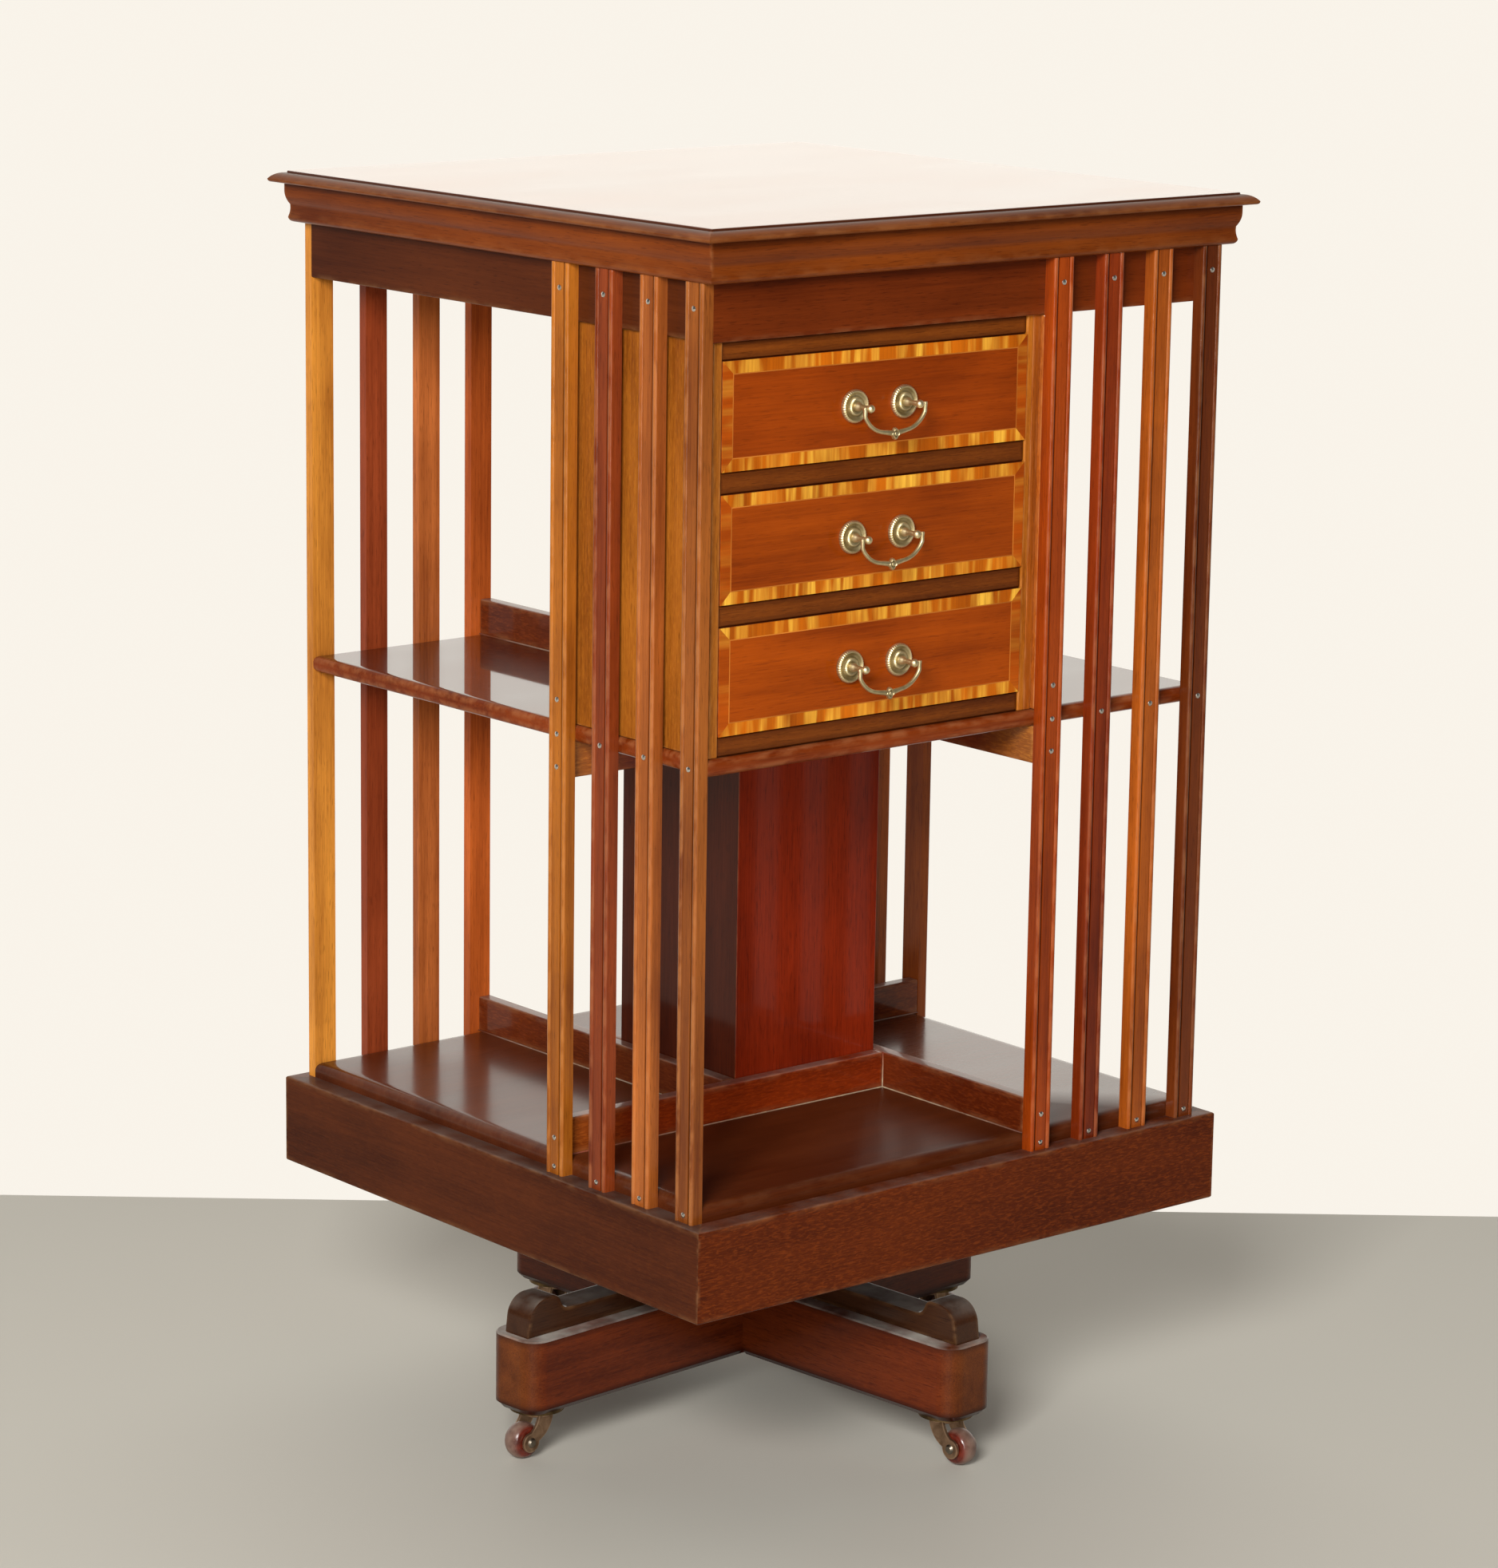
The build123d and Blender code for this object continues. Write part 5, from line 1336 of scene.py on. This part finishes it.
# Floor, light and camera: a plain pale floor that ends at a pale wall colour, a soft lamp beside the
# camera and a low upright one under it, which lights the rounded edges, and a room that is dim in
# front and bright behind, which the polished top mirrors.
FLOOR_NEAR = 4.0
FLOOR_FAR = 0.44
FLOOR_SIDE = 6.0
WALL = (0.95, 0.90, 0.82, 1.0)
ROOM_FRONT = (0.08, 0.08, 0.08, 1.0)
ROOM_BACK = (1.34, 1.28, 1.17, 1.0)
KEY_PLACE = (-2.9, -2.2, 2.1)
KEY_TARGET = (0.0, 0.0, 0.45)
KEY_SIZE = 1.2
KEY_ENERGY = 160.0
EDGE_PLACE = (-2.0, -2.4, 0.75)
EDGE_TARGET = (0.0, 0.0, 0.4)
EDGE_WIDTH = 0.3
EDGE_HEIGHT = 1.3
EDGE_ENERGY = 18.0
LAMP_COLOUR = (1.0, 0.98, 0.95)
FLOOR_DARK = (0.54, 0.52, 0.46, 1.0)
FLOOR_LIGHT = (0.60, 0.58, 0.52, 1.0)
CAMERA_PLACE = (-2.1448, -2.5647, 1.1711)
CAMERA_YAW = 39.884
CAMERA_PITCH = 12.277
CAMERA_ROLL = -0.8388
CAMERA_LENS = 112.42
CAMERA_SENSOR = 36.0


def floor_material():
    """Pale matt floor with a faint cloudiness."""
    material, tree, shader = new_material("pale floor")
    cloud = noise(tree, object_place(tree), (3.0, 3.0, 3.0), 3.0)
    tree.links.new(blend(tree, cloud, FLOOR_DARK, FLOOR_LIGHT), shader.inputs["Base Color"])
    tree.links.new(rescale(tree, cloud, 0.3, 0.7, 0.6, 0.75), shader.inputs["Roughness"])
    return material


def aim(obj, place, target):
    """Puts an object at a place, with its -Z axis pointing to the target."""
    away = unit(np.subtract(place, target))
    right = unit(np.cross((0.0, 0.0, 1.0), away))
    up = np.cross(away, right)
    obj.matrix_world = Matrix([
        (right[0], up[0], away[0], place[0]), (right[1], up[1], away[1], place[1]),
        (right[2], up[2], away[2], place[2]), (0, 0, 0, 1),
    ])


def soft_lamp(name, place, target, width, height, energy):
    """A rectangular area lamp that the camera doesn't see."""
    lamp = bpy.data.lights.new(name, "AREA")
    lamp.shape = "RECTANGLE"
    lamp.size = width
    lamp.size_y = height
    lamp.energy = energy
    lamp.color = LAMP_COLOUR
    holder = bpy.data.objects.new(name, lamp)
    bpy.context.scene.collection.objects.link(holder)
    aim(holder, place, target)
    holder.visible_camera = False


yaw, pitch, roll = (math.radians(angle) for angle in (CAMERA_YAW, CAMERA_PITCH, CAMERA_ROLL))
ahead = np.array([math.sin(yaw), math.cos(yaw), 0.0])
aside = np.array([math.cos(yaw), -math.sin(yaw), 0.0])
floor_corners = [
    tuple(ahead * depth + aside * width)
    for depth, width in (
        (-FLOOR_NEAR, -FLOOR_SIDE), (-FLOOR_NEAR, FLOOR_SIDE),
        (FLOOR_FAR, FLOOR_SIDE), (FLOOR_FAR, -FLOOR_SIDE),
    )
]
floor_mesh = bpy.data.meshes.new("floor")
floor_mesh.from_pydata(floor_corners, [], [(0, 1, 2, 3)])
floor_mesh.materials.append(floor_material())
floor = bpy.data.objects.new("floor", floor_mesh)
bpy.context.scene.collection.objects.link(floor)

world = bpy.data.worlds.new("studio")
bpy.context.scene.world = world
world.use_nodes = True
sky = world.node_tree
sky.nodes.clear()
ray = add_node(sky, "ShaderNodeLightPath", {}).outputs
place = add_node(sky, "ShaderNodeTexCoord", {}).outputs["Generated"]
facing = add_node(sky, "ShaderNodeVectorMath", {0: place, 1: tuple(ahead)}, operation="DOT_PRODUCT")
room = blend(sky, rescale(sky, facing.outputs["Value"], 0.1, 0.8), ROOM_FRONT, ROOM_BACK)
room_light = add_node(sky, "ShaderNodeBackground", {"Color": room, "Strength": 1.0}).outputs[0]
wall = add_node(sky, "ShaderNodeBackground", {"Color": WALL, "Strength": 1.0}).outputs[0]
mixed = add_node(sky, "ShaderNodeMixShader", {0: ray["Is Camera Ray"], 1: room_light, 2: wall}).outputs[0]
add_node(sky, "ShaderNodeOutputWorld", {"Surface": mixed})

soft_lamp("key lamp", KEY_PLACE, KEY_TARGET, KEY_SIZE, KEY_SIZE, KEY_ENERGY)
soft_lamp("edge lamp", EDGE_PLACE, EDGE_TARGET, EDGE_WIDTH, EDGE_HEIGHT, EDGE_ENERGY)

forward = ahead * math.cos(pitch) - np.array([0.0, 0.0, math.sin(pitch)])
level_down = np.cross(forward, aside)
right = math.cos(roll) * aside + math.sin(roll) * level_down
down = -math.sin(roll) * aside + math.cos(roll) * level_down
lens = bpy.data.cameras.new("photo camera")
lens.sensor_width = CAMERA_SENSOR
lens.lens = CAMERA_LENS
camera = bpy.data.objects.new("photo camera", lens)
bpy.context.scene.collection.objects.link(camera)
camera.matrix_world = Matrix([
    (right[axis], -down[axis], -forward[axis], CAMERA_PLACE[axis]) for axis in range(3)
] + [(0, 0, 0, 1)])
bpy.context.scene.camera = camera
bpy.context.scene.view_settings.view_transform = "Standard"
